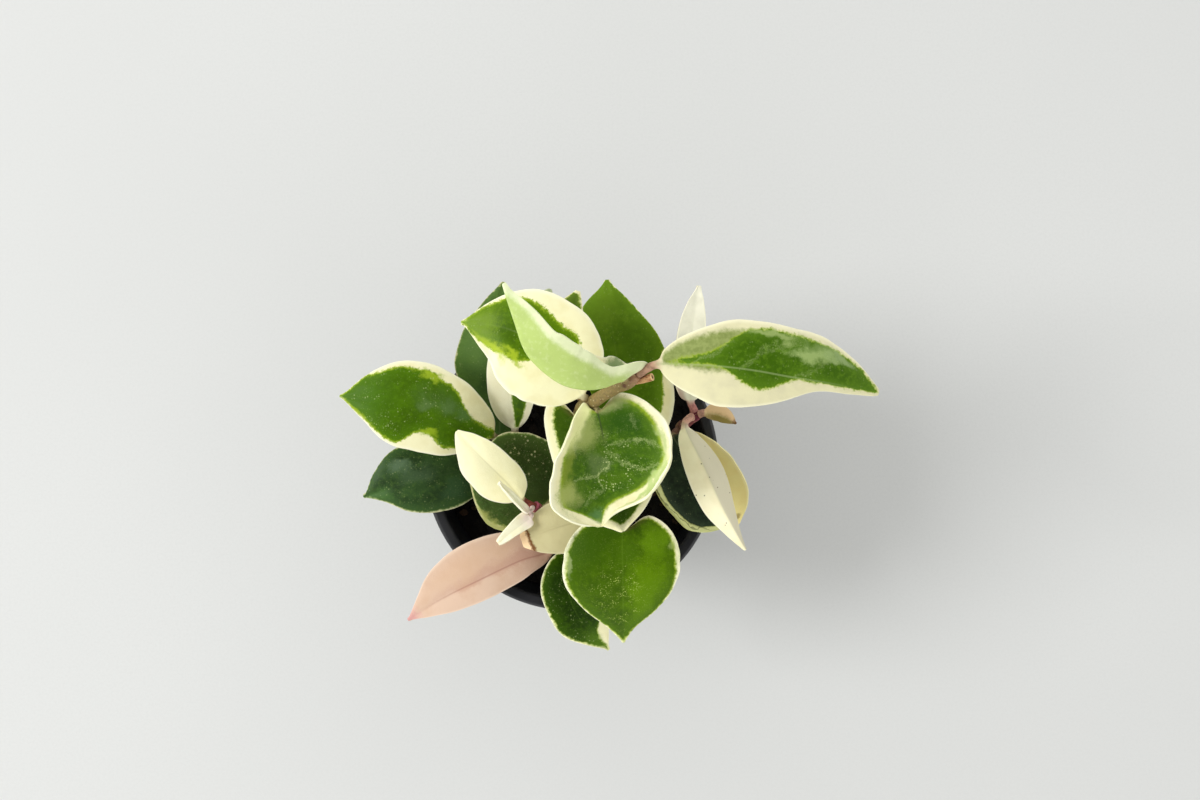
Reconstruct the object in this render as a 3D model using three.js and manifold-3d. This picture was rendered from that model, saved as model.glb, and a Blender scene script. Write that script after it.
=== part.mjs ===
// A variegated hoya in a small black nursery pot: 23 thick leaves on five short stems.
// Millimetres, +Z up. The origin is the middle of the pot's flat bottom.

import * as THREE from "three";
import { mergeVertices } from "three/addons/utils/BufferGeometryUtils.js";
import Module from "manifold-3d";

const wasm = await Module();
wasm.setup();

// ---------------------------------------------------------------- driving dimensions

const GAP = 0.3; // left between two pieces that touch on the real plant

const POT = {
  height: 84,
  rimRadius: 51, // outside of the rolled rim
  footRadius: 36, // outside of the wall at the bottom
  wall: 1.3,
  rimHeight: 9,
  rimOverhang: 2.2, // how far the rim's band stands out from the wall
  lip: 3.6, // width of the rim's flat top
  floor: 1.6,
  footDepth: 1.6, // the raised middle disc that the pot stands on
  footInset: 6,
  holes: 8,
  holeRadius: 3.6,
  holeCircle: 31.5,
  sides: 48,
};

const SOIL = {
  below: 12.5, // from the rim down to the middle of the surface
  lumps: 1.1, // height of the bumps
  rings: 6,
  sides: 32,
};

const STEM_SOCKET = 0.45; // play round a stem in the soil
const STEM_ROOT = 22; // how far below the rim the stems end
const STEM_SIDES = 10;

const LEAF = {
  petioleRadius: 1.25,
  petioleSteps: 2,
  bladeSteps: 9,
  tipHalfWidth: 0.45,
  midribHalf: 0.85, // half the thickness over the midrib
  marginHalf: 0.4, // half the thickness at the margin
  across: [0.32, 0.62, 0.86, 1], // where the columns lie between midrib and margin
  petioleArc: 75, // degrees from the top of a petiole to its side columns
};

// ---------------------------------------------------------------- colours

const COLOUR = {
  cream: 0xf4efc4,
  green: 0x4f8a1c,
  deepGreen: 0x3c6b2e,
  darkGreen: 0x2e4a30,
  paleGreen: 0xbcd88c,
  blush: 0xe8d2b8,
  straw: 0xd3c99c,
  wood: 0x8f7a4c,
  pink: 0xb0506a,
  plastic: 0x15161a,
  soil: 0x17130f,
};

// ---------------------------------------------------------------- leaves
// A path runs from the middle of its stem node to the leaf's tip, and "blade" is the point
// where the blade begins. Heights are above the rim. "left" and "right" are half-widths at
// seven stations, closer together at both ends, seen from the base with the upper side up.
// Angles are in degrees: "roll" turns the blade about its midrib, "fold" raises both halves
// like a V, "bend" curves them further by the margin, "curl" rolls one margin over, "lobe"
// draws the base back beside the petiole, and "clear" moves a petiole's start off its stem.

const NODE = {
  mainLow: [4.3, 19.4, 20],
  mainMiddle: [7, 21, 36],
  mainTop: [18.6, 28, 53],
  mainEnd: [21.2, 29.8, 55.6],
  frontLow: [0.7, -16.6, -7],
  frontMiddle: [0.2, -10.5, 1],
  frontTop: [-12.2, -13.6, 12.5],
  rightLow: [39, 12.8, -8],
  rightTop: [41.6, 17, 17],
  leftLow: [-22.2, 3.2, -9],
  leftTop: [-21.1, 6, -2],
  centreLow: [22, -11.5, -1],
  centreTop: [19.6, -7.2, 12],
};

const LEAVES = [
  {
    name: "leaf_cream_upper_left",
    colour: COLOUR.cream,
    path: [NODE.mainMiddle, [4.2, 23.6, 39.5], [-1.6, 32, 42.5], [-8.8, 38.8, 43], [-19.7, 44.5, 42],
      [-34, 46.6, 37]],
    blade: 1,
    left: [8, 14, 17, 17.5, 15.5, 9.5, 2.5],
    right: [4, 12, 16, 17, 14.5, 8, 2.5],
    fold: 6,
    bend: -22,
  },
  {
    name: "leaf_cupped_front",
    colour: COLOUR.deepGreen,
    path: [NODE.mainMiddle, [9.4, 16.9, 38], [10.9, 8, 34.5], [11.2, -5, 32.5],
      [10.2, -18.7, 31]],
    blade: 1,
    clear: 0.4,
    left: [12, 19, 24.5, 26.5, 19, 6, 1.5],
    right: [7.5, 14, 17, 18.5, 20, 18, 10.5],
    fold: [6, 12],
    bend: [16, 34],
    lobe: 3,
    curl: { side: "left", from: 0.2, to: 0.95, angle: 105 },
  },
  {
    name: "leaf_long_right",
    colour: COLOUR.green,
    path: [NODE.mainEnd, [24.4, 31.6, 57.2], [27.8, 32.7, 58.5], [41, 32.3, 61.5], [54.5, 30.8, 62],
      [68, 28.4, 60], [81.5, 26.4, 56], [94.9, 24.1, 51]],
    blade: 2,
    left: [6.5, 11.5, 15.5, 16, 14.5, 9, 3],
    right: [4.5, 9.5, 13, 10, 3.2, 2, 1.2],
    fold: 8,
    bend: -30,
  },
  {
    name: "leaf_folded_top",
    colour: COLOUR.paleGreen,
    path: [NODE.mainTop, [16.4, 28.4, 59.6], [11.5, 25.8, 62], [4.6, 25, 64],
      [-3, 27.3, 65], [-11.3, 35, 67], [-14.9, 45, 67.5], [-18.2, 56.2, 66]],
    blade: 1,
    clear: 0.4,
    left: [6, 9.5, 13, 14, 12.5, 8.5, 3],
    right: [6.5, 10, 12.5, 13, 11.5, 8, 2.5],
    lobe: 11.5,
    roll: 84,
    fold: 64,
    bend: 14,
  },
  {
    name: "leaf_back",
    colour: COLOUR.green,
    path: [NODE.centreTop, [20, -2, 13], [19.3, 3.6, 14], [17.5, 22, 17], [14.5, 41.5, 19],
      [12.2, 62, 17]],
    blade: 2,
    clear: -0.6,
    left: [5, 9, 9, 11.5, 13, 9.5, 2.5],
    right: [6, 13.5, 17, 17, 14, 7.5, 2],
    fold: 7,
    bend: -16,
  },
  {
    name: "leaf_back_left_dark",
    colour: COLOUR.darkGreen,
    path: [NODE.leftLow, [-25, 6.4, -8.4], [-25.2, 10, -6.3], [-25, 26, 0.3], [-25.1, 43.9, 8.6],
      [-22.3, 61.5, 14]],
    blade: 2,
    clear: 0.4,
    left: [3, 7, 12, 14.5, 11, 6, 1.8],
    right: [4, 8, 11, 12.5, 11, 7, 2],
    fold: 6,
    bend: -10,
  },
  {
    name: "leaf_striped_left",
    colour: COLOUR.cream,
    path: [NODE.leftTop, [-19.8, 9.5, -1], [-19.5, 12.5, 0.5], [-19.8, 26, 7.5], [-15.5, 43, 15],
      [-6.5, 58.6, 20]],
    blade: 2,
    left: [3, 6, 8.5, 9.5, 8, 5.5, 2],
    right: [3, 6, 8.5, 10, 9.5, 6, 2],
    fold: 9,
    bend: -8,
  },
  {
    name: "leaf_behind_upper",
    colour: COLOUR.green,
    path: [NODE.mainLow, [3.2, 25.3, 22.5], [-0.8, 36.6, 26], [0.6, 47, 27.5], [2.8, 57.3, 27]],
    blade: 1,
    left: [2.5, 5, 7, 7.5, 7, 4.8, 2],
    right: [2.5, 5.5, 7, 6.5, 4.5, 2.5, 1],
    fold: 10,
    bend: -10,
  },
  {
    name: "leaf_left",
    colour: COLOUR.green,
    path: [NODE.leftTop, [-25, 8, 3], [-27, 10, 6], [-36.6, 13.9, 13.5], [-49.9, 18.3, 18],
      [-62.8, 21.3, 19], [-76.8, 23.3, 16]],
    blade: 2,
    left: [3, 8, 12.5, 13.5, 12, 7, 2],
    right: [5, 9.5, 14, 16, 14.5, 9, 3],
    fold: 6,
    bend: -20,
  },
  {
    name: "leaf_centre_dark",
    colour: COLOUR.darkGreen,
    path: [NODE.frontMiddle, [-3, -6.6, 4], [-13, -4.8, 7], [-24, -3.2, 8.5], [-35, -1.8, 8]],
    blade: 1,
    clear: -1.1,
    left: [4, 8, 13.5, 18.5, 18, 12.5, 4],
    right: [6, 11.5, 14.5, 15, 14, 8, 2.5],
    fold: 4,
    bend: -6,
  },
  {
    name: "leaf_lower_left_dark",
    colour: COLOUR.darkGreen,
    path: [NODE.leftLow, [-25.2, 0.6, -8], [-28, -1, -6], [-38.5, -2.6, 0], [-50, -4.8, 4.5],
      [-60.5, -7.6, 5.5], [-71.3, -11.2, 3]],
    blade: 2,
    left: [4, 9, 12, 12, 9.5, 5, 1.5],
    right: [4, 8, 10.5, 12.5, 12, 8, 2.5],
    fold: 5,
    bend: -12,
  },
  {
    name: "leaf_young_cream",
    colour: COLOUR.cream,
    path: [NODE.frontTop, [-16.2, -10.8, 15.5], [-21.4, -4.6, 19.5], [-29, 3.2, 22.5],
      [-37.2, 11.8, 21.5]],
    blade: 1,
    petiole: 1,
    left: [2.5, 6, 8.5, 9, 8, 5, 2],
    right: [2.5, 5, 6.5, 6.8, 6, 4, 1.5],
    fold: 8,
    bend: -20,
  },
  {
    name: "leaf_bud_upright",
    colour: COLOUR.cream,
    path: [NODE.frontTop, [-14, -14.9, 17.3], [-18, -10.6, 22], [-22.8, -4.8, 26]],
    blade: 1,
    petiole: 0.8,
    clear: 0.8,
    left: [1.4, 2, 2.2, 2, 1.6, 1.1, 0.7],
    right: [1.4, 2, 2.2, 2, 1.6, 1.1, 0.7],
    roll: 66,
    fold: 25,
  },
  {
    name: "leaf_bud_spread",
    colour: COLOUR.cream,
    path: [NODE.frontTop, [-13.4, -17.2, 15.8], [-18, -20.6, 17.5], [-23.9, -25.4, 17.5]],
    blade: 1,
    petiole: 0.8,
    clear: 1.8,
    left: [2, 2.6, 2.6, 2.2, 1.7, 1.1, 0.6],
    right: [2.2, 3.2, 3.4, 2.8, 2, 1.2, 0.6],
    fold: 12,
    bend: 10,
  },
  {
    name: "leaf_pink_front",
    colour: COLOUR.blush,
    path: [NODE.frontLow, [-4, -22.5, -2.5], [-7, -29.6, 1.5], [-17.4, -32.9, 5.5],
      [-30.9, -39.2, 7], [-44.8, -46.3, 5], [-56.3, -53.9, 1]],
    blade: 2,
    clear: -0.5,
    left: [2.2, 4.5, 6.5, 7, 6, 4, 1.5],
    right: [3, 7.5, 12, 13.5, 11.5, 6, 2],
    fold: 10,
    bend: -12,
  },
  {
    name: "leaf_straw_centre",
    colour: COLOUR.straw,
    path: [NODE.centreLow, [20, -14, 5], [16, -16, 9.5], [6.5, -17.8, 13.5], [-4.5, -20.6, 14.5],
      [-16.4, -25.2, 13.2]],
    blade: 2,
    clear: -0.4,
    left: [3, 7, 9.5, 10, 9, 6.5, 3.4],
    right: [3, 6, 8.5, 9, 8.5, 6, 3],
    fold: 5,
    bend: -14,
    tip: 1.8,
  },
  {
    name: "leaf_heart_front",
    colour: COLOUR.green,
    path: [NODE.centreTop, [19, -14, 17.5], [17.3, -21.3, 20], [17.4, -34, 21], [17.6, -47, 17],
      [17.8, -60, 9]],
    blade: 2,
    clear: -0.8,
    left: [12, 18, 19, 17, 11.5, 4.6, 1.5],
    right: [11.5, 18, 20, 18.5, 13, 5.8, 1.6],
    fold: 8,
    bend: -24,
    lobe: 5,
  },
  {
    name: "leaf_under_cupped",
    colour: COLOUR.green,
    path: [NODE.mainLow, [5.6, 14, 22.5], [9, 3, 24.5], [13.6, -8.7, 25], [17.4, -20.9, 24.5]],
    blade: 1,
    left: [6, 10.5, 14, 15.5, 14.5, 9.5, 3],
    right: [12.5, 15, 14.5, 13, 11, 8, 2.5],
    fold: 5,
    bend: -12,
    lobe: 6,
  },
  {
    name: "leaf_front_low",
    colour: COLOUR.deepGreen,
    path: [NODE.frontLow, [3.6, -22, -2.5], [2.2, -29.2, 2], [-1.2, -41, 6], [3.1, -53.1, 4.5],
      [13, -64.7, -2]],
    blade: 2,
    clear: -0.5,
    left: [3, 8, 11, 12, 11, 7.5, 2.5],
    right: [3, 7, 9, 9, 8.5, 5.5, 1.8],
    fold: 7,
    bend: -14,
  },
  {
    name: "leaf_right_dark",
    colour: COLOUR.darkGreen,
    path: [NODE.rightLow, [36.8, 11.2, -4.5], [35.4, 9, -1], [42.6, -0.8, 2.5], [50, -10.8, 3.5],
      [57.2, -21.1, 1.5]],
    blade: 2,
    left: [5, 8.5, 11.5, 12.5, 11.5, 8, 3],
    right: [6.5, 13.5, 18, 19.2, 17, 11.5, 3],
    fold: [12, 7],
    bend: 14,
    curl: { side: "right", from: 0.1, to: 0.9, angle: 62 },
  },
  {
    name: "leaf_cream_right",
    colour: COLOUR.cream,
    path: [NODE.rightTop, [39.2, 15.8, 19], [37.8, 12.8, 20.5], [43.8, 0, 23.5], [50.2, -13.5, 21.5],
      [58.6, -28.2, 14]],
    blade: 2,
    clear: -0.5,
    left: [2, 4.5, 6.5, 7, 5.5, 3, 1],
    right: [2.5, 5, 7.5, 8.5, 8, 4.5, 1.5],
    fold: -36,
    bend: 8,
  },
  {
    name: "leaf_back_right_pale",
    colour: COLOUR.cream,
    path: [NODE.rightTop, [40.6, 19.8, 18], [39.8, 22, 18.5], [39.3, 34.5, 22.5], [40.2, 47, 23.5],
      [42.6, 59.6, 21]],
    blade: 2,
    clear: -0.9,
    left: [3, 4.6, 5, 5, 4.2, 2.6, 1],
    right: [3, 4.8, 5.2, 5, 4.2, 2.6, 1],
    fold: 14,
    bend: 6,
  },
  {
    name: "leaf_small_right",
    colour: COLOUR.straw,
    path: [NODE.rightTop, [44.8, 17.8, 18.5], [48.2, 17.2, 19.5], [51.6, 16, 19.2], [55, 14.2, 17.5]],
    blade: 1,
    clear: -0.5,
    left: [1.8, 2.8, 3.2, 3.4, 3.2, 2.6, 1.4],
    right: [1.4, 1.8, 2, 2, 2, 1.6, 0.9],
    fold: 10,
    bend: -10,
  },
];

// ---------------------------------------------------------------- stems
// Each stem stands straight in its hole in the soil and then leans. Radii follow the points,
// with a swelling at each node where leaves grow.

const STEMS = [
  {
    name: "stem_main",
    colour: COLOUR.wood,
    path: [[0.7, 12, -STEM_ROOT], [0.7, 12, -18], [0.7, 12, -11], [2.2, 15.6, 2],
      NODE.mainLow, [5.8, 20.4, 28], NODE.mainMiddle, [11, 23.5, 43], [14.8, 25.8, 48.2],
      NODE.mainTop, NODE.mainEnd],
    radii: [2.2, 2.2, 2.2, 2.1, 2.6, 1.9, 2.2, 2, 2.1, 2.5, 1.7],
  },
  {
    name: "stem_front",
    colour: COLOUR.pink,
    path: [[0.7, -16.9, -STEM_ROOT], [0.7, -16.9, -18], [0.7, -16.9, -12], NODE.frontLow,
      [0.8, -13.6, -2.6], NODE.frontMiddle, [-3.6, -15, 5.2], [-8.4, -16, 9], NODE.frontTop],
    radii: [1.9, 1.9, 1.9, 2.3, 1.8, 2.1, 1.6, 1.5, 1.9],
  },
  {
    name: "stem_right",
    colour: COLOUR.pink,
    path: [[38.6, 12.4, -STEM_ROOT], [38.6, 12.4, -18], [38.6, 12.4, -12], NODE.rightLow,
      [40, 14.2, 1], [41, 15.6, 9], NODE.rightTop],
    radii: [1.9, 1.9, 1.9, 2.2, 1.7, 1.6, 2],
  },
  {
    name: "stem_left",
    colour: COLOUR.wood,
    path: [[-22.6, 1.8, -STEM_ROOT], [-22.6, 1.8, -18], [-22.6, 1.8, -12], NODE.leftLow,
      NODE.leftTop],
    radii: [2, 2, 2, 2.3, 2.1],
  },
  {
    name: "stem_centre",
    colour: COLOUR.wood,
    path: [[22.4, -13.2, -STEM_ROOT], [22.4, -13.2, -18], [22.4, -13.2, -11], NODE.centreLow,
      [20.8, -9.4, 6], NODE.centreTop],
    radii: [2, 2, 2, 2.3, 1.8, 2.2],
  },
];

// The cut flower stalk at the top of the main stem, which grew as one piece with it.
const STALK = {
  path: [[18.4, 27.4, 52.4], [21.6, 27.8, 54], [25.8, 29, 56]],
  radii: [1, 1.05, 1.25],
};

// ---------------------------------------------------------------- small helpers

const degrees = THREE.MathUtils.degToRad;
const vector = (point) => new THREE.Vector3(...point);

function pathCurve(points) {
  return new THREE.CatmullRomCurve3(points.map(vector), false, "catmullrom", 0.5);
}

// A smooth value between evenly spaced ones, as a Catmull-Rom spline through them.
function smooth(values, at) {
  const last = values.length - 1;
  const place = THREE.MathUtils.clamp(at, 0, 1) * last;
  const i = Math.min(Math.floor(place), last - 1);
  const f = place - i;
  const a = values[Math.max(i - 1, 0)];
  const b = values[i];
  const c = values[i + 1];
  const d = values[Math.min(i + 2, last)];
  return 0.5 * (2 * b + (c - a) * f + (2 * a - 5 * b + 4 * c - d) * f * f
    + (3 * b - a - 3 * c + d) * f * f * f);
}

// A closed body from rings of equal length: walls between them and a fan over each end. From
// "turned" on, each wall is split along its other diagonal.
function loft(rings, turned = Infinity) {
  const size = rings[0].length;
  const positions = rings.flat().flatMap((p) => [p.x, p.y, p.z]);
  const faces = [];
  for (let i = 0; i + 1 < rings.length; i += 1) {
    for (let j = 0; j < size; j += 1) {
      const a = i * size + j;
      const b = i * size + ((j + 1) % size);
      if (j < turned) faces.push(a, b, b + size, a, b + size, a + size);
      else faces.push(a, b, a + size, b, b + size, a + size);
    }
  }
  const end = (rings.length - 1) * size;
  for (let j = 1; j + 1 < size; j += 1) {
    faces.push(0, j + 1, j);
    faces.push(end, end + j, end + j + 1);
  }
  const geometry = new THREE.BufferGeometry();
  geometry.setAttribute("position", new THREE.Float32BufferAttribute(positions, 3));
  geometry.setIndex(faces);
  return geometry;
}

function mesh(name, geometry, colour, roughness = 0.45) {
  geometry.computeVertexNormals();
  const material = new THREE.MeshStandardMaterial({ color: colour, roughness, metalness: 0 });
  const made = new THREE.Mesh(geometry, material);
  made.name = name;
  return made;
}

// ---------------------------------------------------------------- solids for cutting

function solid(geometry) {
  const bare = geometry.clone();
  bare.deleteAttribute("normal");
  bare.deleteAttribute("uv");
  const merged = mergeVertices(bare, 1e-4);
  return new wasm.Manifold(new wasm.Mesh({
    numProp: 3,
    vertProperties: new Float32Array(merged.attributes.position.array),
    triVerts: new Uint32Array(merged.index.array),
  }));
}

function geometryOf(body) {
  const cut = body.getMesh();
  const geometry = new THREE.BufferGeometry();
  geometry.setAttribute("position", new THREE.BufferAttribute(cut.vertProperties, 3));
  geometry.setIndex(new THREE.BufferAttribute(cut.triVerts, 1));
  return geometry;
}

// An upright cylinder round (x, y), from one height to another.
function pin(x, y, from, to, radius, sides) {
  const geometry = new THREE.CylinderGeometry(radius, radius, to - from, sides);
  geometry.rotateX(Math.PI / 2);
  geometry.translate(x, y, (from + to) / 2);
  return geometry;
}

// ---------------------------------------------------------------- pot and soil

// The wall's outer radius at a height, on the taper from the foot to just under the rim.
function wallRadius(z) {
  const top = POT.rimRadius - POT.rimOverhang;
  return THREE.MathUtils.lerp(POT.footRadius, top, z / POT.height);
}

function potGeometry() {
  const { height, rimRadius, wall, rimHeight, lip, floor, footDepth, footInset } = POT;
  const under = height - rimHeight;
  const footRing = POT.footRadius - footInset;
  const profile = [
    [0, 0],
    [footRing, 0],
    [footRing + footDepth, footDepth],
    [POT.footRadius - 1, footDepth],
    [POT.footRadius, footDepth + 1],
    [wallRadius(under), under],
    [rimRadius - 0.6, under + 1],
    [rimRadius, under + 2.4],
    [rimRadius, height - 0.9],
    [rimRadius - 0.9, height],
    [rimRadius - lip, height],
    [rimRadius - lip - 0.6, height - 0.8],
    [wallRadius(under) - wall, under],
    [wallRadius(footDepth + floor) - wall, footDepth + floor],
    [0, footDepth + floor],
  ].map(([x, y]) => new THREE.Vector2(x, y));
  const shell = new THREE.LatheGeometry(profile, POT.sides);
  shell.rotateX(Math.PI / 2);
  let pot = solid(shell);
  for (let i = 0; i < POT.holes; i += 1) {
    const turn = ((i + 0.5) / POT.holes) * 2 * Math.PI;
    const x = POT.holeCircle * Math.cos(turn);
    const y = POT.holeCircle * Math.sin(turn);
    pot = pot.subtract(solid(pin(x, y, -1, footDepth + floor + 2, POT.holeRadius, 12)));
  }
  return geometryOf(pot);
}

// Height of the bumps on the soil, a sum of waves that fades out towards the wall.
function lump(x, y) {
  const waves = Math.sin(x * 0.31 + 1) * Math.cos(y * 0.27) + 0.6 * Math.sin(x * 0.73 - y * 0.61)
    + 0.4 * Math.cos(x * 1.3 + y * 1.1);
  return (SOIL.lumps * waves) / 2;
}

function soilGeometry() {
  const top = POT.height - SOIL.below;
  const bottom = POT.footDepth + POT.floor + GAP;
  const radiusAt = (z) => wallRadius(z) - POT.wall - GAP - 0.1;
  const ring = (radius, heightAt) => Array.from({ length: SOIL.sides }, (_, j) => {
    const turn = (j / SOIL.sides) * 2 * Math.PI;
    const x = radius * Math.cos(turn);
    const y = radius * Math.sin(turn);
    return new THREE.Vector3(x, y, heightAt(x, y));
  });
  const rings = [ring(1.5, () => bottom), ring(radiusAt(bottom), () => bottom),
    ring(radiusAt(top - 1), () => top - 1)];
  for (let i = SOIL.rings; i >= 1; i -= 1) {
    const share = i / (SOIL.rings + 0.4);
    rings.push(ring(radiusAt(top) * share, (x, y) => top + lump(x, y) * (1 - share ** 6)));
  }
  let soil = solid(loft(rings));
  for (const stem of STEMS) {
    const [x, y] = stem.path[0];
    const radius = stem.radii[0] + STEM_SOCKET;
    soil = soil.subtract(solid(pin(x, y, POT.height - STEM_ROOT - GAP, POT.height, radius, 12)));
  }
  return geometryOf(soil);
}

// ---------------------------------------------------------------- stems and leaves

// A round tube along a path whose radius follows the path's points.
function stemGeometry({ path, radii }) {
  const curve = pathCurve(path);
  const steps = (path.length - 1) * 2;
  const frame = new THREE.Vector3();
  const rings = [];
  for (let i = 0; i <= steps; i += 1) {
    const centre = curve.getPoint(i / steps);
    const along = curve.getTangent(i / steps);
    // carry the last ring's side direction on, so that the tube does not twist
    const side = i === 0 ? new THREE.Vector3(1, 0, 0) : frame.clone();
    side.addScaledVector(along, -side.dot(along)).normalize();
    frame.copy(side);
    const other = along.clone().cross(side);
    const radius = smooth(radii, i / steps);
    rings.push(Array.from({ length: STEM_SIDES }, (_, j) => {
      const turn = (j / STEM_SIDES) * 2 * Math.PI;
      return centre.clone()
        .addScaledVector(side, radius * Math.cos(turn))
        .addScaledVector(other, radius * Math.sin(turn));
    }));
  }
  return loft(rings);
}

// The stem that carries a leaf: its radius and direction at the leaf's node.
function nodeOf(point) {
  for (const { path, radii } of STEMS) {
    const i = path.indexOf(point);
    if (i >= 0) {
      const isEnd = i === path.length - 1;
      const along = vector(isEnd ? path[i] : path[i + 1]).sub(vector(path[i - 1])).normalize();
      return { radius: radii[i], along, isEnd };
    }
  }
  throw new Error("no stem carries this leaf");
}

// The leaf's path with its first point moved from the node's middle out to the stem's skin,
// so that the square end of the petiole stays just clear of it.
function leafPath(leaf) {
  const points = leaf.path.map(vector);
  const petiole = leaf.petiole ?? LEAF.petioleRadius;
  const node = nodeOf(leaf.path[0]);
  const away = points[1].clone().sub(points[0]).normalize();
  const cosine = Math.abs(away.dot(node.along));
  const sine = Math.sqrt(1 - cosine * cosine);
  let reach = (node.radius + GAP + petiole * cosine) / sine;
  if (node.isEnd && away.dot(node.along) > 0) {
    reach = Math.min(reach, (GAP + petiole * sine) / cosine);
  }
  points[0].addScaledVector(away, reach + (leaf.clear ?? 0));
  return new THREE.CatmullRomCurve3(points, false, "catmullrom", 0.5);
}

// An angle given once for both halves of a leaf, or as [left, right].
const angleOf = (value, which) => (Array.isArray(value) ? value[which] : value ?? 0);

// Points of the mid-surface across the leaf at one station, from left margin to right margin.
function crossSection(leaf, curve, t, u) {
  const { across, tipHalfWidth, petioleArc } = LEAF;
  const petioleRadius = leaf.petiole ?? LEAF.petioleRadius;
  const centre = curve.getPoint(t);
  const along = curve.getTangent(t);
  const flatSide = along.clone().cross(new THREE.Vector3(0, 0, 1)).normalize();
  const flatUp = flatSide.clone().cross(along);
  const roll = degrees(leaf.roll ?? 0);
  const side = flatSide.clone().multiplyScalar(Math.cos(roll)).addScaledVector(flatUp, -Math.sin(roll));
  const up = flatUp.clone().multiplyScalar(Math.cos(roll)).addScaledVector(flatSide, Math.sin(roll));
  const half = (name, sign) => {
    const which = name === "left" ? 0 : 1;
    if (u < 0) {
      return across.map((a) => centre.clone()
        .addScaledVector(side, sign * petioleRadius * Math.sin(degrees(petioleArc) * a)));
    }
    const station = Math.acos(1 - 2 * u) / Math.PI;
    const width = smooth([petioleRadius, ...leaf[name], leaf.tip ?? tipHalfWidth], station);
    const opening = Math.min(1, u * 8);
    const sweep = (leaf.lobe ?? 0) * Math.min(1, u * 30) * (1 - u) ** 7;
    const curl = curlAngle(leaf, name, u);
    const points = [];
    const point = centre.clone();
    let reached = 0;
    for (const a of across) {
      const middle = (reached + a) / 2;
      const angle = degrees(opening * (angleOf(leaf.fold, which) + angleOf(leaf.bend, which) * middle))
        + degrees(curl) * Math.max(0, (middle - 0.6) / 0.4);
      const step = (a - reached) * width;
      point.addScaledVector(side, sign * step * Math.cos(angle));
      point.addScaledVector(up, step * Math.sin(angle));
      points.push(point.clone().addScaledVector(along, -sweep * a ** 2));
      reached = a;
    }
    return points;
  };
  return [...half("left", -1).reverse(), centre, ...half("right", 1)];
}

// How far one margin is rolled over at u, rising and falling smoothly between two places.
function curlAngle(leaf, side, u) {
  if (!leaf.curl || leaf.curl.side !== side) return 0;
  const { from, to, angle } = leaf.curl;
  const share = THREE.MathUtils.clamp((u - from) / (to - from), 0, 1);
  return angle * Math.sin(Math.PI * share);
}

// A leaf is one body: its petiole and its blade, with rounded thickness, as rings along it.
// Its upper and lower faces are split into the same triangles, so the blade stays even.
function leafGeometry(leaf) {
  const { petioleSteps, bladeSteps, across, midribHalf, marginHalf } = LEAF;
  const petioleRadius = leaf.petiole ?? LEAF.petioleRadius;
  const curve = leafPath(leaf);
  const begin = leaf.blade / (leaf.path.length - 1);
  const stations = [];
  for (let i = 0; i < petioleSteps; i += 1) {
    stations.push({ t: (begin * i) / petioleSteps, u: -1 });
  }
  for (let i = 0; i <= bladeSteps; i += 1) {
    const u = (1 - Math.cos((Math.PI * i) / bladeSteps)) / 2;
    stations.push({ t: begin + (1 - begin) * u, u });
  }
  const grid = stations.map(({ t, u }) => crossSection(leaf, curve, t, u));
  const columns = [...across.toReversed(), 0, ...across];
  const rings = grid.map((row, i) => {
    const before = grid[Math.max(i - 1, 0)];
    const after = grid[Math.min(i + 1, grid.length - 1)];
    const tops = [];
    const bottoms = [];
    row.forEach((point, j) => {
      const along = after[j].clone().sub(before[j]);
      const sideways = row[Math.min(j + 1, row.length - 1)].clone().sub(row[Math.max(j - 1, 0)]);
      const normal = sideways.cross(along).normalize();
      const a = columns[j];
      const round = petioleRadius * Math.cos(degrees(LEAF.petioleArc) * a);
      const flat = THREE.MathUtils.lerp(midribHalf, marginHalf, a * a);
      const blend = THREE.MathUtils.clamp(stations[i].u * 12, 0, 1);
      const thickness = THREE.MathUtils.lerp(round, flat, blend);
      tops.push(point.clone().addScaledVector(normal, thickness));
      bottoms.push(point.clone().addScaledVector(normal, -thickness));
    });
    return [...tops, ...bottoms.reverse()];
  });
  return loft(rings, columns.length);
}

// ---------------------------------------------------------------- the whole plant

const object = new THREE.Group();
object.name = "potted_hoya";
object.add(mesh("pot", potGeometry(), COLOUR.plastic, 0.4));
object.add(mesh("soil", soilGeometry(), COLOUR.soil, 0.95));

const plant = new THREE.Group();
plant.position.z = POT.height;
for (const stem of STEMS) {
  let geometry = stemGeometry(stem);
  if (stem.path.includes(NODE.mainTop)) {
    geometry = geometryOf(solid(geometry).add(solid(stemGeometry(STALK))));
  }
  plant.add(mesh(stem.name, geometry, stem.colour, 0.6));
}
for (const leaf of LEAVES) {
  plant.add(mesh(leaf.name, leafGeometry(leaf), leaf.colour, 0.35));
}
object.add(plant);

export default object;
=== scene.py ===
import random
from math import acos, cos, exp, hypot, pi, radians, sin, sqrt

import bmesh
import bpy
from bpy.props import FloatProperty, FloatVectorProperty, IntProperty, PointerProperty
from mathutils import Euler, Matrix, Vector, noise


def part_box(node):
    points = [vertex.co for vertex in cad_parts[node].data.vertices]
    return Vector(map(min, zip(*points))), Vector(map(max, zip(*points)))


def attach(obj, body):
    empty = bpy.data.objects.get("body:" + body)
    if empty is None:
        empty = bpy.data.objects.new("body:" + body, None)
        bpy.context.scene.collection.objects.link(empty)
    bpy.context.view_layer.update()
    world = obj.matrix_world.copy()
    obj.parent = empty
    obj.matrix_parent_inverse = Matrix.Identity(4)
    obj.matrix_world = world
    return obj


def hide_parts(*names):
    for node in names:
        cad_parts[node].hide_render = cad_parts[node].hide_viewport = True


bl_info = {
    "name": "Potted hoya",
    "version": (1, 0, 0),
    "blender": (4, 5, 0),
    "location": "View3D > Sidebar > Hoya",
    "description": "Leaves, stems, soil and nursery pot of a small variegated hoya",
    "category": "Object",
}

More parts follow.
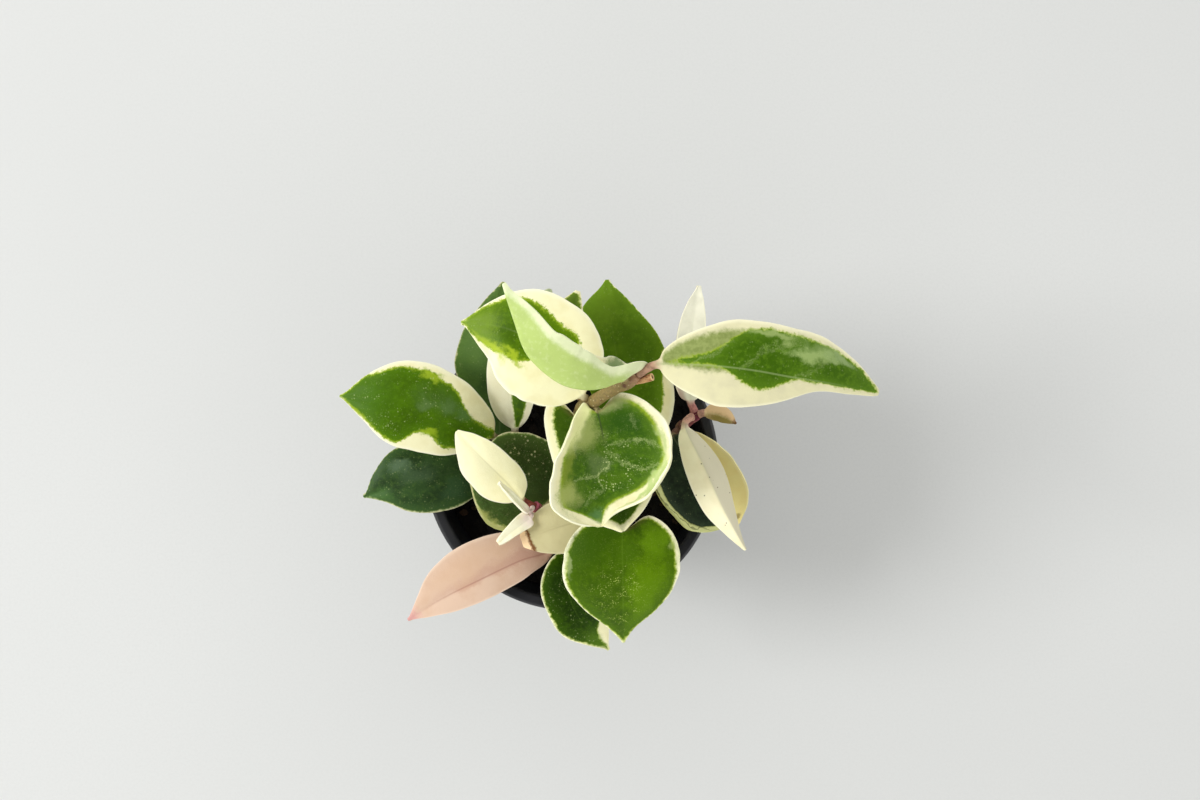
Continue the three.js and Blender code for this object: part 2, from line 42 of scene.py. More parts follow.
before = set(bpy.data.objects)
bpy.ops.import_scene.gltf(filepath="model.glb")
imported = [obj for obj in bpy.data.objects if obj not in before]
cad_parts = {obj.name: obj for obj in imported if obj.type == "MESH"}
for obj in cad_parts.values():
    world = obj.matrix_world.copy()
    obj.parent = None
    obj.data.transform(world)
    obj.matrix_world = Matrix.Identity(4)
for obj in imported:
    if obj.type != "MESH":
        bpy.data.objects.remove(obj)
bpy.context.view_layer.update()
POT_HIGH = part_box("pot")[1]
RIM = POT_HIGH[2]                 # height of the pot's rim, which plant heights start from
MM = 0.001


def srgb(code):
    """A colour written as 0xRRGGBB, in linear light."""
    parts = [((code >> shift) & 255) / 255 for shift in (16, 8, 0)]
    return tuple(c / 12.92 if c <= 0.04045 else ((c + 0.055) / 1.055) ** 2.4 for c in parts)


def darker(colour, share):
    return tuple(c * share for c in (srgb(colour) if isinstance(colour, int) else colour))


# ------------------------------------------------------------------ stems

# Where leaves grow from the stems, in millimetres from the middle of the rim.
NODE = {
    "main_low": (4.3, 19.4, 20), "main_middle": (7, 21, 36), "main_top": (18.6, 28, 53),
    "main_end": (21.2, 29.8, 55.6), "front_low": (0.7, -16.6, -7),
    "front_middle": (0.2, -10.5, 1), "front_top": (-12.2, -13.6, 12.5),
    "right_low": (39, 12.8, -8), "right_top": (41.6, 17, 17), "left_low": (-22.2, 3.2, -9),
    "left_top": (-21.1, 6, -2), "centre_low": (22, -11.5, -1), "centre_top": (19.6, -7.2, 12),
}


def buried(x, y, top):
    """The straight foot of a stem, from its end in the soil to a height."""
    return [(x, y, -22.0), (x, y, -18), (x, y, top)]


STEMS = {
    "main": dict(
        path=[*buried(0.7, 12, -11), (2.2, 15.6, 2), NODE["main_low"], (5.8, 20.4, 28),
              NODE["main_middle"], (11, 23.5, 43), (14.8, 25.8, 48.2), NODE["main_top"],
              NODE["main_end"]],
        radii=[2.2, 2.2, 2.2, 2.1, 2.6, 1.9, 2.2, 2, 2.1, 2.5, 1.7], slot="woody_stem",
        base=0x7C6C3C, tip=0xA67E60, blush=0x8C7444, turn=(0.88, 0.97)),
    "front": dict(
        path=[*buried(0.7, -16.9, -12), NODE["front_low"], (0.8, -13.6, -2.6),
              NODE["front_middle"], (-3.6, -15, 5.2), (-8.4, -16, 9), NODE["front_top"]],
        radii=[1.9, 1.9, 1.9, 2.3, 1.8, 2.1, 1.6, 1.5, 1.9], slot="young_stem",
        base=0x8A7048, tip=0xB2566A, blush=0x9C5A5A, turn=(0.45, 0.8)),
    "right": dict(
        path=[*buried(38.6, 12.4, -12), NODE["right_low"], (40, 14.2, 1), (41, 15.6, 9),
              NODE["right_top"]],
        radii=[1.9, 1.9, 1.9, 2.2, 1.7, 1.6, 2], slot="young_stem",
        base=0x8A7048, tip=0x8F3F50, blush=0x7A3A44, turn=(0.45, 0.8)),
    "left": dict(
        path=[*buried(-22.6, 1.8, -12), NODE["left_low"], NODE["left_top"]],
        radii=[2, 2, 2, 2.3, 2.1], slot="woody_stem",
        base=0x8E7B4E, tip=0x9A8A58, blush=0x8A7048, turn=(0.45, 0.8)),
    "centre": dict(
        path=[*buried(22.4, -13.2, -11), NODE["centre_low"], (20.8, -9.4, 6),
              NODE["centre_top"]],
        radii=[2, 2, 2, 2.3, 1.8, 2.2], slot="woody_stem",
        base=0x8E7B4E, tip=0x9A8A58, blush=0x8A7048, turn=(0.45, 0.8)),
}
# Scars on the main stem, each with its middle and its size.
SCARS = [((17.3, 26.2, 54.3), 1.1), ((18.4, 25, 52.4), 0.8), ((10.2, 21.6, 44.2), 0.8),
         ((8.6, 20.2, 38.2), 0.7)]
STALK_PATH = [(18.4, 27.4, 52.4), (21.6, 27.8, 54), (25.8, 29, 56)]
STALK_RADII = [1, 1.05, 1.25]

# ------------------------------------------------------------------ leaves
# A leaf has its palette, the stem node that it starts from, the number of the path's point
# where its blade begins, its path from petiole to tip, and half-widths at seven stations of
# its left and right halves, seen from the base with the upper side up. Sizes are in
# millimetres, heights are above the rim, and angles are in degrees.
# Places and shares on a blade are in percent: along it from its base, and across it from
# -100 at the left margin to 100 at the right one.
#   green, pale   the left and right bounds of that part, at places along the blade
#   patches       colour, place along and across, half length, half width, share
#   veins         places along and across of a vein's two ends, share
#   fleck_zone    place along and across, half length and half width of the most flecked part
# Other values, most of them with a default:
#   clear, petiole, tip       gap left to the stem, radius of the petiole, width of the tip
#   roll, fold, bend, lobe    turn of the blade, slope of its halves at the midrib, added
#                             slope towards their margins, how far they reach back at the foot
#   curl                      the half that rolls over, the shares where it starts and ends,
#                             and the angle; edge is the width of each pale margin
#   half, rib, dry_tip        side and colour of a half; colour, share and end of the midline;
#                             colour and start of the tip
# fold, bend and lobe may hold a pair of values, for the left and the right half.

FRESH = dict(cream=0xFAF5C8, shade=0xF3ECB9, rim=0xFDFADC, lime=0x9CB42C, green=0x567804,
             deep=0x426202, bright=0x648808, under_green=0x9DB06E, under_cream=0xEFE8BE,
             petiole=0x9A8458)
DARK = dict(cream=0xD9D3A0, shade=0xC4C088, rim=0xDCD8AC, lime=0x66803A, green=0x364E22,
            deep=0x263A18, bright=0x46622A, under_green=0x77895A, under_cream=0xD2CCA4,
            petiole=0x8A6A58)
PALE = dict(cream=0xF8F1CC, shade=0xF0E8C0, rim=0xFBF7DE, lime=0xE2DFAE, green=0xDEDCA8,
            deep=0xD2D09A, bright=0xE6E2B8, under_green=0xDAD6AE, under_cream=0xEAE3C2,
            petiole=0xC79A86)
PALE_WASH = (0x8C9B52, 0x76873C)  # the grey-green of a leaf's "pale" part, light and dark
SPECK, DRY_EDGE = 0x6E6448, 0x7A5230

DEFAULTS = dict(
    petiole=1.25, clear=0, tip=0.45, roll=0, fold=0, bend=0, lobe=0, curl=None, waving=1.0,
    quilt=0.15, detail=(46, 11),
    green=(), pale=(), patches=(), veins=(), edge=(0.5, 0.5), ragged=(2.0, 0.6), soft=0.4,
    lime_width=1.0, rib=(0xB4BE88, 0.12), flecks=0, fleck_share=0.3, fleck_size=1.0,
    fleck_colour=None, fleck_zone=None, crystals=0, specks=0, half=None, dry_tip=None,
    under_reach=0.0, marbling=0.5)
LEAVES = {}


def add_leaf(name, palette, start, blade, path, left, right, **values):
    """Adds a leaf to the list, with its percentages as shares and a pair for its halves."""
    leaf = dict(DEFAULTS, palette=palette, start=start, blade=blade, path=path, left=left,
                right=right, **values)
    for key in ("green", "pale", "veins"):
        leaf[key] = [[number / 100 for number in row] for row in leaf[key]]
    leaf["patches"] = [(code, *(number / 100 for number in row))
                       for code, *row in leaf["patches"]]
    if leaf["fleck_zone"]:
        leaf["fleck_zone"] = [number / 100 for number in leaf["fleck_zone"]]
    for key in ("fold", "bend", "lobe"):
        if not isinstance(leaf[key], tuple):
            leaf[key] = (leaf[key], leaf[key])
    LEAVES[name] = leaf


add_leaf("cream_upper_left", FRESH, "main_middle", 1,
    [(4.2, 23.6, 39.5), (-1.6, 32, 42.5), (-8.8, 38.8, 43), (-19.7, 44.5, 42), (-34, 46.6, 37)],
    [8, 14, 17, 17.5, 15.5, 9, 1.9], [4, 12, 16, 17, 14.5, 7.4, 1.8], fold=6, bend=-22,
    lime_width=1.4, edge=(0.2, 0.2), flecks=0.3, ragged=(2.4, 1.6),
    green=[(28, 50, 58), (36, 25, 62), (44, -10, 56), (50, -33, 58), (60, -50, 66), (70, -53, 78),
        (78, -62, 84), (86, -72, 88), (93, -90, 120), (100, -130, 130)],
    patches=[(0xB0C42A, 80, -58, 14, 13, 85), (0xA8BE2A, 62, -42, 12, 8, 85),
        (0x54761C, 60, 36, 20, 10, 60), (0x7C9A24, 90, 0, 12, 80, 60)])
add_leaf("cupped_front", dict(FRESH, green=0x507214, deep=0x3A5E0C, bright=0x5E8418,
    under_green=0xC2D286, under_cream=0xF8F5CD), "main_middle", 1,
    [(9, 18.2, 38.4), (10.9, 8, 34.5), (11.2, -5, 32.5), (10.2, -18.7, 31)],
    [11.5, 19, 24.5, 26.5, 19, 6, 1.5], [5, 11.5, 16.2, 18.5, 20, 18, 10.5], clear=0.4,
    fold=(6, 12), bend=(16, 34), lobe=(6, 5.4), curl=("left", 0.2, 0.95, 105), lime_width=2.4,
    edge=(0.9, 1.2), flecks=1.5, fleck_share=0.5, quilt=1.0, fleck_zone=(55, -10, 35, 50),
    rib=(0x3A4626, 0.7, 0.34), crystals=0.6, under_reach=3.4, ragged=(1.6, 0.3), soft=0.8,
    green=[(0, -70, 60), (5, -85, 66), (11, -86, 74), (37.5, -80, 83), (54, -71, 82),
        (69, -60, 80), (76, -42, 79), (86, -24, 76), (91, -15, 45), (96, -10, 15)],
    veins=[(34, -5, 31, -40, 50), (31, -40, 38, -74, 70), (40, -10, 50, -20, 50),
        (50, -20, 54, -50, 60), (54, -50, 48, -72, 70), (47, 2, 58, 4, 100), (59, 10, 62, 50, 80),
        (58, 4, 68, 6, 100), (68, 6, 84, 34, 50), (12, -62, 22, -40, 35)],
    # the dark green patch at 17/-40 is deeper green, partly painted shade in the cupped base
    patches=[(0xBACE80, 62, -79, 26, 9, 85), (0xECEEAA, 12, 74, 25, 34, 95),
        (0xAAB668, 20, 32, 17, 30, 85), (0x9AA468, 0, -50, 7, 45, 85),
        (0x849630, 55, 72, 35, 14, 75), (0x2C5208, 17, -40, 11, 35, 85),
        (0xB4C480, 32, -86, 9, 14, 80), (0x788A58, 50, 15, 12, 22, 45),
        (0xAEB868, 74, 62, 11, 26, 75), (0x5C8652, 92, 0, 7, 20, 60)])
add_leaf("long_right", dict(FRESH, cream=0xE4DFB4, shade=0xDAD5AE, rim=0xF8F4D2, petiole=0xB48E74,
    green=0x4E7212, deep=0x3C6004, bright=0x628818), "main_end", 2,
    [(24.4, 31.6, 57.2), (27.8, 32.7, 58.5), (41, 32.3, 61.5), (54.5, 30.8, 62), (68, 28.4, 60),
     (81.5, 26.4, 56), (94.9, 24.1, 51)],
    [5, 10, 14.4, 15.3, 14, 9, 3], [4.2, 9, 12, 9.3, 3, 2, 1.2], fold=8, bend=-30, lime_width=0.9,
    edge=(0.9, 0.9), flecks=0.35, crystals=0.3, quilt=0.3, rib=(0xAABA80, 0.35),
    ragged=(3.0, 0.5), soft=0.6,
    green=[(5, -10, 0), (10, -26, 0), (20, -30, 0), (27, -46, 3), (31, -60, 14), (36, -80, 34),
        (43, -86, 50), (49, -88, 50), (55, -86, 30), (60, -86, 4), (70, -83, 12), (85, -86, 20),
        (96, -90, 25), (99, -60, 0)],
    pale=[(2, -80, 10), (10, -85, 16), (20, -84, 20), (30, -82, 14), (36, -80, 0),
        (42, -78, -74)],
    veins=[(16, -2, 30, -50, 40), (36, -2, 52, -64, 35), (60, -2, 72, -40, 30)],
    patches=[(0x9AAE66, 47, -78, 12, 10, 85), (0xA0B66E, 65, -54, 11, 16, 85),
        (0x9AB070, 75, -60, 5, 12, 70), (0xA4B880, 80, -76, 6, 12, 60),
        (0x88A05C, 68, -70, 8, 10, 50)])
add_leaf("folded_top", dict(FRESH, under_green=0xB6CB74, under_cream=0xE6EDC0, green=0xC6CDA0,
    deep=0xB9C290, lime=0xDCE0B8, bright=0xD6DAB4), "main_top", 1,
    [(16.4, 28.4, 59.6), (11.5, 25.8, 62), (4.6, 25, 64), (-3, 27.3, 65), (-11.3, 35, 67),
     (-14.9, 45, 67.5), (-18.2, 56.2, 66)],
    [3.3, 5.0, 11.4, 14, 12.2, 7, 1.6], [8.5, 8.4, 11.9, 12.2, 9.8, 5.2, 1.2], clear=0.4,
    lobe=11.5, roll=84, fold=64, bend=14, lime_width=1.2, edge=(1.4, 0.7), flecks=0.2, quilt=0.8,
    waving=1.6, soft=0.5, marbling=0.36,
    green=[(0, -75, 75), (30, -80, 80), (80, -80, 80), (100, -70, 70)],
    # the grey-green patch near the base is painted shade on the inner face inside the fold
    patches=[(0x728C50, 5, 68, 13, 34, 95)])
add_leaf("back", dict(FRESH, deep=0x4A6A08, green=0x5C7E14, bright=0x648A16), "centre_top", 2,
    [(20, -2, 13), (19.3, 3.6, 14), (17.5, 22, 17), (14.5, 41.5, 19), (12.2, 62, 17)],
    [5, 9, 9, 11.5, 13, 9.5, 2.5], [6, 13.5, 17, 17, 14, 7.5, 2], clear=-0.6, fold=7, bend=-16,
    lime_width=0.8, edge=(-0.2, -0.1), flecks=0.3, rib=(0x6E8A30, 0.2),
    green=[(0, -130, 60), (20, -130, 72), (30, -130, 78), (44, -130, 82), (56, -130, 93),
        (66, -130, 120), (100, -130, 130)],
    patches=[(0x6E9020, 90, -20, 20, 80, 60), (0x42620A, 60, 30, 15, 50, 50)])
add_leaf("back_left_dark", dict(DARK, green=0x567534, deep=0x42602E), "left_low", 2,
    [(-25, 6.4, -8.4), (-25.2, 10, -6.3), (-25, 26, 0.3), (-25.1, 43.9, 8.6), (-22.3, 61.5, 14)],
    [3, 7, 12, 14.5, 11, 6, 1.8], [4, 8, 11, 12.5, 11, 7, 2], clear=0.4, fold=6, bend=-10,
    lime_width=0.5, edge=(0.15, 0.15), flecks=0.3,
    green=[(0, -130, 130), (100, -130, 130)],
    patches=[(0x6A8A44, 62, -30, 20, 70, 60)])
add_leaf("striped_left", dict(FRESH, cream=0xFCF8D8, shade=0xF6F0CC, green=0x44641A,
    deep=0x2F4A12), "left_top", 2,
    [(-19.8, 9.5, -1), (-19.5, 12.5, 0.5), (-19.8, 26, 7.5), (-15.5, 43, 15), (-6.5, 58.6, 20)],
    [3, 6, 8.5, 9.5, 8, 5.5, 2], [3, 6, 8.5, 10, 9.5, 6, 2], fold=9, bend=-8, lime_width=0.6,
    edge=(0.6, 0.6), ragged=(1.2, 0.3),
    green=[(2, 5, 50), (10, 5, 60), (27, -2, 66), (50, -10, 50), (80, -20, 60), (97, -60, 80)],
    patches=[(0x94A57C, 95, 0, 12, 150, 90)])
add_leaf("behind_upper", dict(FRESH, green=0x66802A, deep=0x58741E), "main_low", 1,
    [(3.2, 25.3, 22.5), (-0.8, 36.6, 26), (0.6, 47, 27.5), (2.8, 57.3, 27)],
    [2.5, 5, 7, 7.5, 7, 4.8, 2], [2.5, 5.5, 7, 6.5, 4.5, 2.5, 1], fold=10, bend=-10,
    lime_width=0.6, edge=(0.3, 0.5),
    green=[(0, -50, 50), (50, -70, 50), (80, -100, 80), (97, -100, 90)])
add_leaf("left", dict(FRESH, deep=0x3F6004, green=0x4A7004, bright=0x567E06), "left_top", 2,
    [(-25, 8, 3), (-27, 10, 6), (-36.6, 13.9, 13.5), (-49.9, 18.3, 18), (-62.8, 21.3, 19),
     (-76.8, 23.3, 16)],
    [3, 8, 12.5, 13.5, 12, 6, 1.3], [5, 9.5, 14, 16, 14.5, 8.2, 1.7], fold=6, bend=-20,
    lime_width=1.3, rib=(0x4A7010, 0.15), edge=(0.3, 0.1), flecks=0.7, quilt=0.3,
    ragged=(2.6, 0.9),
    green=[(0, -50, 50), (9, -60, 30), (19, -74, 28), (27, -78, 45), (32, -76, 66), (38, -60, 78),
        (41, -50, 76), (48, -50, 84), (53, -70, 86), (58, -90, 83), (66, -93, 90), (77, -90, 86),
        (84, -88, 92), (89, -90, 120), (100, -120, 130)],
    # the grey-green patches at 47/20, 36/28 and 25/20 are painted bluish-grey reflection
    patches=[(0x9CB42A, 49, 76, 6, 11, 90), (0x9AB424, 41, -46, 5, 12, 80),
        (0x9CB028, 90, -78, 10, 14, 70), (0x78925C, 47, 20, 5, 16, 50),
        (0x6E8C58, 36, 28, 5, 18, 50), (0x5E7E4C, 25, 20, 6, 16, 50),
        (0x4C6C2C, 42, 30, 16, 30, 50), (0x47700A, 85, 0, 20, 70, 60)])
add_leaf("centre_dark", dict(DARK, cream=0xC6C48A, green=0x445824, deep=0x34461A), "front_middle",
    1,
    [(-3, -6.6, 4), (-13, -4.8, 7), (-24, -3.2, 8.5), (-35, -1.8, 8)],
    [4, 8, 13.5, 18.5, 18, 12.5, 4], [6, 11.5, 14.5, 15, 14, 8, 2.5], clear=-1.1, fold=4, bend=-6,
    lime_width=0.9, rib=(0x55683C, 0.15), edge=(1.5, 0.3), flecks=3.4, fleck_share=0.5,
    fleck_size=1.5, fleck_colour=0xC8C492, fleck_zone=(38, 50, 30, 55),
    green=[(0, -120, 120), (100, -120, 120)],
    patches=[(0xA0A45A, 64, -94, 35, 14, 85), (0x4A5E30, 35, -30, 20, 40, 50)])
add_leaf("lower_left_dark", dict(DARK, cream=0xA8B68A, green=0x38542A, deep=0x283E1E), "left_low",
    2,
    [(-25.2, 0.6, -8), (-28, -1, -6), (-38.5, -2.6, 0), (-50, -4.8, 4.5), (-60.5, -7.6, 5.5),
     (-71.3, -11.2, 3)],
    [4, 9, 12, 12, 9.5, 3.9, 0.9], [4, 8, 10.5, 12.8, 12, 6.8, 1.4], fold=5, bend=-12,
    lime_width=0.7, edge=(0.35, 0.0), flecks=0.4, rib=(0x5A7048, 0.1),
    green=[(0, -120, 130), (100, -120, 130)],
    # the grey patches at 66/50 and 56/15 are a painted grey haze of reflection
    patches=[(0x688062, 66, 50, 9, 24, 60), (0x4C6444, 56, 15, 14, 30, 60),
        (0x4A7034, 87, -30, 12, 50, 60), (0x3C5A38, 30, -50, 12, 30, 60)])
add_leaf("young_cream", dict(PALE, cream=0xFFFACE, shade=0xFBF5C4, petiole=0x8E4A40), "front_top",
    1,
    [(-16.2, -10.8, 15.5), (-21.4, -4.6, 19.5), (-29, 3.2, 22.5), (-37.2, 11.8, 21.5)],
    [2.5, 6, 8.5, 9, 8, 5, 2], [2.5, 5, 6.5, 6.8, 6, 4, 1.5], petiole=1, fold=8, bend=-20,
    edge=(0.6, 0.6), rib=(0xC4BC88, 0.3))
add_leaf("bud_upright", dict(PALE, cream=0xFFFBDC, petiole=0xF4DCD6, under_cream=0xFFF9DC),
    "front_top", 1,
    [(-14, -14.9, 17.3), (-18, -10.6, 22), (-22.8, -4.8, 26)],
    [1.2, 1.5, 1.5, 1.4, 1.2, 0.9, 0.6], [1.2, 1.5, 1.5, 1.4, 1.2, 0.9, 0.6], petiole=0.8,
    clear=0.8, roll=40, fold=22, edge=(0.3, 0.3), detail=(24, 8),
    patches=[(0xFAE4DE, 0, 0, 30, 150, 80)])
add_leaf("bud_spread", dict(PALE, cream=0xFFFBDC, petiole=0xF4DCD6), "front_top", 1,
    [(-13.4, -17.2, 15.8), (-18, -20.6, 17.5), (-23.9, -25.4, 17.5)],
    [2.2, 2.7, 2.5, 2.2, 1.9, 1.5, 1.0], [2.4, 3.3, 3.2, 2.7, 2.2, 1.6, 1.0], petiole=0.8,
    clear=1.8, fold=12, bend=10, edge=(0.3, 0.3), detail=(24, 8),
    patches=[(0xFAE6E2, 0, 0, 35, 150, 80)])
add_leaf("pink_front", dict(PALE, cream=0xDCBEA6, shade=0xD6B59B, rim=0xECD4BE, petiole=0xA87468),
    "front_low", 2,
    [(-4, -22.5, -2.5), (-7, -29.6, 1.5), (-17.4, -32.9, 5.5), (-30.9, -39.2, 7),
     (-44.8, -46.3, 5), (-56.3, -53.9, 1)],
    [2.2, 4.5, 6.5, 7, 6, 3.3, 0.9], [3, 7.5, 12, 13.5, 11, 5, 1.1], clear=-0.5, fold=10,
    # the darker midline and the long patch at 20/6 are painted shade in the midrib groove
    bend=-12, edge=(0.5, 0.5), rib=(0xA87466, 0.5),
    patches=[(0xBC8C78, 0, 0, 30, 160, 50), (0xD08C90, 100, 0, 10, 160, 70),
        (0xD8B494, 50, 50, 35, 40, 50), (0xC08E7A, 20, 6, 60, 24, 45)])
add_leaf("straw_centre", dict(PALE, cream=0xD2C99A, shade=0xCBC192, rim=0xDED6AC,
    petiole=0x9A8458), "centre_low", 2,
    [(20, -14, 5), (16, -16, 9.5), (6.5, -17.8, 13.5), (-4.5, -20.6, 14.5), (-16.4, -25.2, 13.2)],
    [3, 7, 9.5, 10, 9, 6.5, 3.4], [3, 6, 8.5, 9, 8.5, 6, 3], clear=-0.4, fold=5, bend=-14,
    tip=1.8, edge=(0.3, 0.3), rib=(0xA89E70, 0.3), dry_tip=(0xFFDCAE, 0.93))
add_leaf("heart_front", dict(FRESH, deep=0x3A5800, green=0x446400, bright=0x527400), "centre_top",
    2,
    [(19, -14, 17.5), (17.3, -21.3, 20), (17.4, -34, 21), (17.6, -47, 17), (17.8, -60, 9)],
    [12, 18, 19.2, 17, 11.2, 3.9, 1], [11.5, 18, 20, 18.5, 12.8, 5, 1.1], clear=-0.8, fold=8,
    bend=-24, lobe=(7.5, 5.5), lime_width=1.1, edge=(0.2, 0.35), fleck_size=0.7,
    fleck_colour=0xBCCB68, flecks=2.2, fleck_share=0.65, quilt=0.2, fleck_zone=(62, 5, 40, 60),
    rib=(0x60801E, 0.3), soft=0.6,
    green=[(0, -90, 93), (13, -93, 93), (25, -92, 94), (35, -94, 95), (50, -97, 95),
        (80, -100, 99), (100, -120, 120)],
    patches=[(0x385800, 12, 50, 22, 45, 85), (0x4A6C04, 20, 0, 14, 30, 60),
        (0x6C9400, 52, -45, 32, 40, 55), (0x648A08, 14, -62, 12, 22, 70),
        (0xB4C084, 28, 96, 12, 7, 45), (0xB4C474, 20, -95, 12, 8, 40)])
add_leaf("under_cupped", dict(FRESH, green=0x3A5604, deep=0x2A4402, bright=0x466606), "main_low",
    1,
    [(5.6, 14, 22.5), (9, 3, 24.5), (13.6, -8.7, 25), (17.4, -20.9, 24.5)],
    [6, 10.5, 14, 15.5, 14.5, 9.5, 3], [11, 13.8, 14, 13, 11, 8, 2.5], fold=5, bend=-12,
    lobe=(6, 14.5), lime_width=0.9, edge=(0.9, 0.9), flecks=0.3, soft=0.7,
    green=[(0, -75, 84), (15, -80, 78), (50, -80, 74), (72, -76, 68), (82, -72, 55),
        (88, -60, 40), (93, -30, 10)],
    # the dark patch is painted shade where cupped_front hangs over this leaf
    patches=[(0x2A4200, 80, -10, 25, 60, 60)])
add_leaf("front_low", dict(FRESH, green=0x304E00, deep=0x1E3600, bright=0x3E6000), "front_low", 2,
    [(3.6, -22, -2.5), (2.2, -29.2, 2), (-1.2, -41, 6), (3.1, -53.1, 4.5), (13, -64.7, -2)],
    [3, 8, 11, 12, 10.8, 6, 1.2], [3, 7, 9, 9, 8, 4, 0.9], clear=-0.5, fold=7, bend=-14,
    rib=(0x587A20, 0.15), lime_width=0.8, edge=(0.4, 0.45), flecks=0.6, soft=0.6,
    green=[(0, -120, 120), (70, -120, 120), (75, -75, 120), (79, -42, 120), (86, -24, 120),
        (92, -20, 120), (96, -60, 120), (100, -130, 120)],
    # the dark patch at 35/0 is painted shade where heart_front hangs over this leaf
    patches=[(0x1C3400, 35, 0, 30, 80, 60), (0x5A7E1A, 90, 20, 14, 60, 60)])
add_leaf("right_dark", dict(DARK, green=0x2B3A26, deep=0x1F2A1E, bright=0x33442C, cream=0xF0E298,
    lime=0x8C9440, shade=0xECD88C, rim=0xF6EAB0, under_cream=0xDCDC90, under_green=0xCDD48C),
    "right_low", 2,
    [(36.8, 11.2, -4.5), (35.4, 9, -1), (42.6, -0.8, 2.5), (50, -10.8, 3.5), (57.2, -21.1, 1.5)],
    [5, 8.5, 11.5, 12.5, 11.5, 8, 3], [6.5, 13.5, 18, 19.2, 17, 11.5, 3], fold=(12, 7), bend=14,
    curl=("right", 0.1, 0.9, 62), half=(1, 0xD8DC98), lime_width=0.5, edge=(0.5, 0.9), flecks=0.2,
    soft=0.5, ragged=(0.8, 0.3),
    green=[(0, -80, 80), (15, -30, 84), (50, -25, 85), (80, -30, 84), (95, -20, 50)],
    patches=[(0x4C5420, 50, 94, 50, 2.5, 70), (0x6E5A28, 93, -30, 3, 35, 70)])
add_leaf("cream_right", dict(PALE, cream=0xFDF6D0, shade=0xF6EDC4), "right_top", 2,
    [(39.2, 15.8, 19), (37.8, 12.8, 20.5), (43.8, 0, 23.5), (50.2, -13.5, 21.5),
     (58.6, -28.2, 14)],
    [2, 4.5, 6.5, 6.7, 4.6, 2.1, 0.7], [2.5, 5, 6.9, 7.4, 6.7, 3.8, 1.3], clear=-0.5, fold=-36,
    # the greyer half, beyond the fold ridge, is painted shade
    bend=8, edge=(0.4, 0.4), specks=0.22, half=(-1, 0xD6D0B4))
add_leaf("back_right_pale", dict(PALE, cream=0xF2F0DA, shade=0xE4E2CC, petiole=0xB47A72),
    "right_top", 2,
    [(40.6, 19.8, 18), (39.8, 22, 18.5), (39.3, 34.5, 22.5), (40.2, 47, 23.5), (42.6, 59.6, 21)],
    [3, 4.6, 5, 5, 4.2, 2.6, 1], [3, 4.8, 5.2, 5, 4.2, 2.6, 1], clear=-0.9, fold=10, bend=2,
    edge=(0.4, 0.4),
    patches=[(0xA07A6C, 2, -70, 20, 40, 80), (0xD2D0B4, 10, 30, 30, 100, 60)])
add_leaf("small_right", dict(PALE, cream=0xD6B78A, shade=0xC8A878, rim=0xD8BC90,
    petiole=0xB58A78), "right_top", 1,
    [(44.8, 17.8, 18.5), (48.2, 17.2, 19.5), (51.6, 16, 19.2), (55, 14.2, 17.5)],
    [1.8, 3, 3.6, 3.5, 2.7, 1.4, 0.5], [1.4, 1.9, 2.1, 2, 1.7, 1, 0.4], clear=-0.5, fold=10,
    bend=-10, edge=(0.3, 0.3), detail=(28, 10),
    patches=[(0x7C7036, 55, 60, 60, 85, 95), (0x5C3C1C, 100, 0, 16, 160, 90)])

HIGH_LEAVES = ("cream_upper_left", "cupped_front", "long_right", "folded_top")
YOUNG_LEAVES = ("young_cream", "bud_upright", "bud_spread", "small_right", "back_right_pale")
MIDDLE_LEAVES = ("back", "striped_left", "behind_upper", "left", "straw_centre",
                 "heart_front", "under_cupped", "cream_right")
LOW_LEAVES = ("back_left_dark", "centre_dark", "lower_left_dark", "pink_front", "front_low",
              "right_dark")


# ------------------------------------------------------------------ curves and meshes

def spline(values, at):
    """A smooth value at 0 to 1 through evenly spaced numbers or points."""
    last = len(values) - 1
    place = min(max(at, 0.0), 1.0) * last
    i = min(int(place), last - 1)
    f = place - i
    b, c = values[i], values[i + 1]
    is_point = isinstance(b, Vector)
    a = values[i - 1] if i > 0 else (2 * b - c if is_point else b)
    d = values[i + 2] if i + 2 <= last else (2 * c - b if is_point else c)
    return 0.5 * (2 * b + (c - a) * f + (2 * a - 5 * b + 4 * c - d) * f * f
                  + (3 * b - a - 3 * c + d) * f * f * f)


def heading(points, at):
    """Direction of the curve through the points."""
    step = 1e-4
    return (spline(points, min(at + step, 1.0)) - spline(points, max(at - step, 0.0))).normalized()


def between(value, low, high):
    """0 at low, 1 at high, and the straight share between."""
    return min(max((value - low) / (high - low), 0.0), 1.0)


def ease(value, low, high):
    """0 below low, 1 above high, and a smooth rise between."""
    f = between(value, low, high)
    return f * f * (3 - 2 * f)


def lerp(a, b, f):
    return a + (b - a) * f


def noise_at(x, y, z):
    return noise.noise(Vector((x, y, z)))


def wrapped_grid(rings, around, layer_names):
    """A grid whose last column will lie on its first, with each vertex's ring and column."""
    bm = bmesh.new()
    layers = [bm.verts.layers.float.new(name) for name in layer_names]
    bmesh.ops.create_grid(bm, x_segments=rings, y_segments=around, size=1.0)
    places = {}
    for vert in bm.verts:
        i = round((vert.co.x + 1) / 2 * rings)
        j = round((vert.co.y + 1) / 2 * around)
        places[vert] = (i, j % around)
    return bm, places, layers


def close_up(bm):
    """Welds the seam and caps both ends of a wrapped grid, with its faces outwards."""
    bmesh.ops.remove_doubles(bm, verts=bm.verts[:], dist=1e-7)
    rims = [edge for edge in bm.edges if edge.is_boundary]
    bmesh.ops.holes_fill(bm, edges=rims, sides=0)
    bmesh.ops.recalc_face_normals(bm, faces=bm.faces[:])


def placed(bm, name):
    """A new object in the scene that holds the bmesh."""
    obj = bpy.data.objects.new(name, bpy.data.meshes.new(name))
    bm.to_mesh(obj.data)
    bm.free()
    bpy.context.scene.collection.objects.link(obj)
    return obj


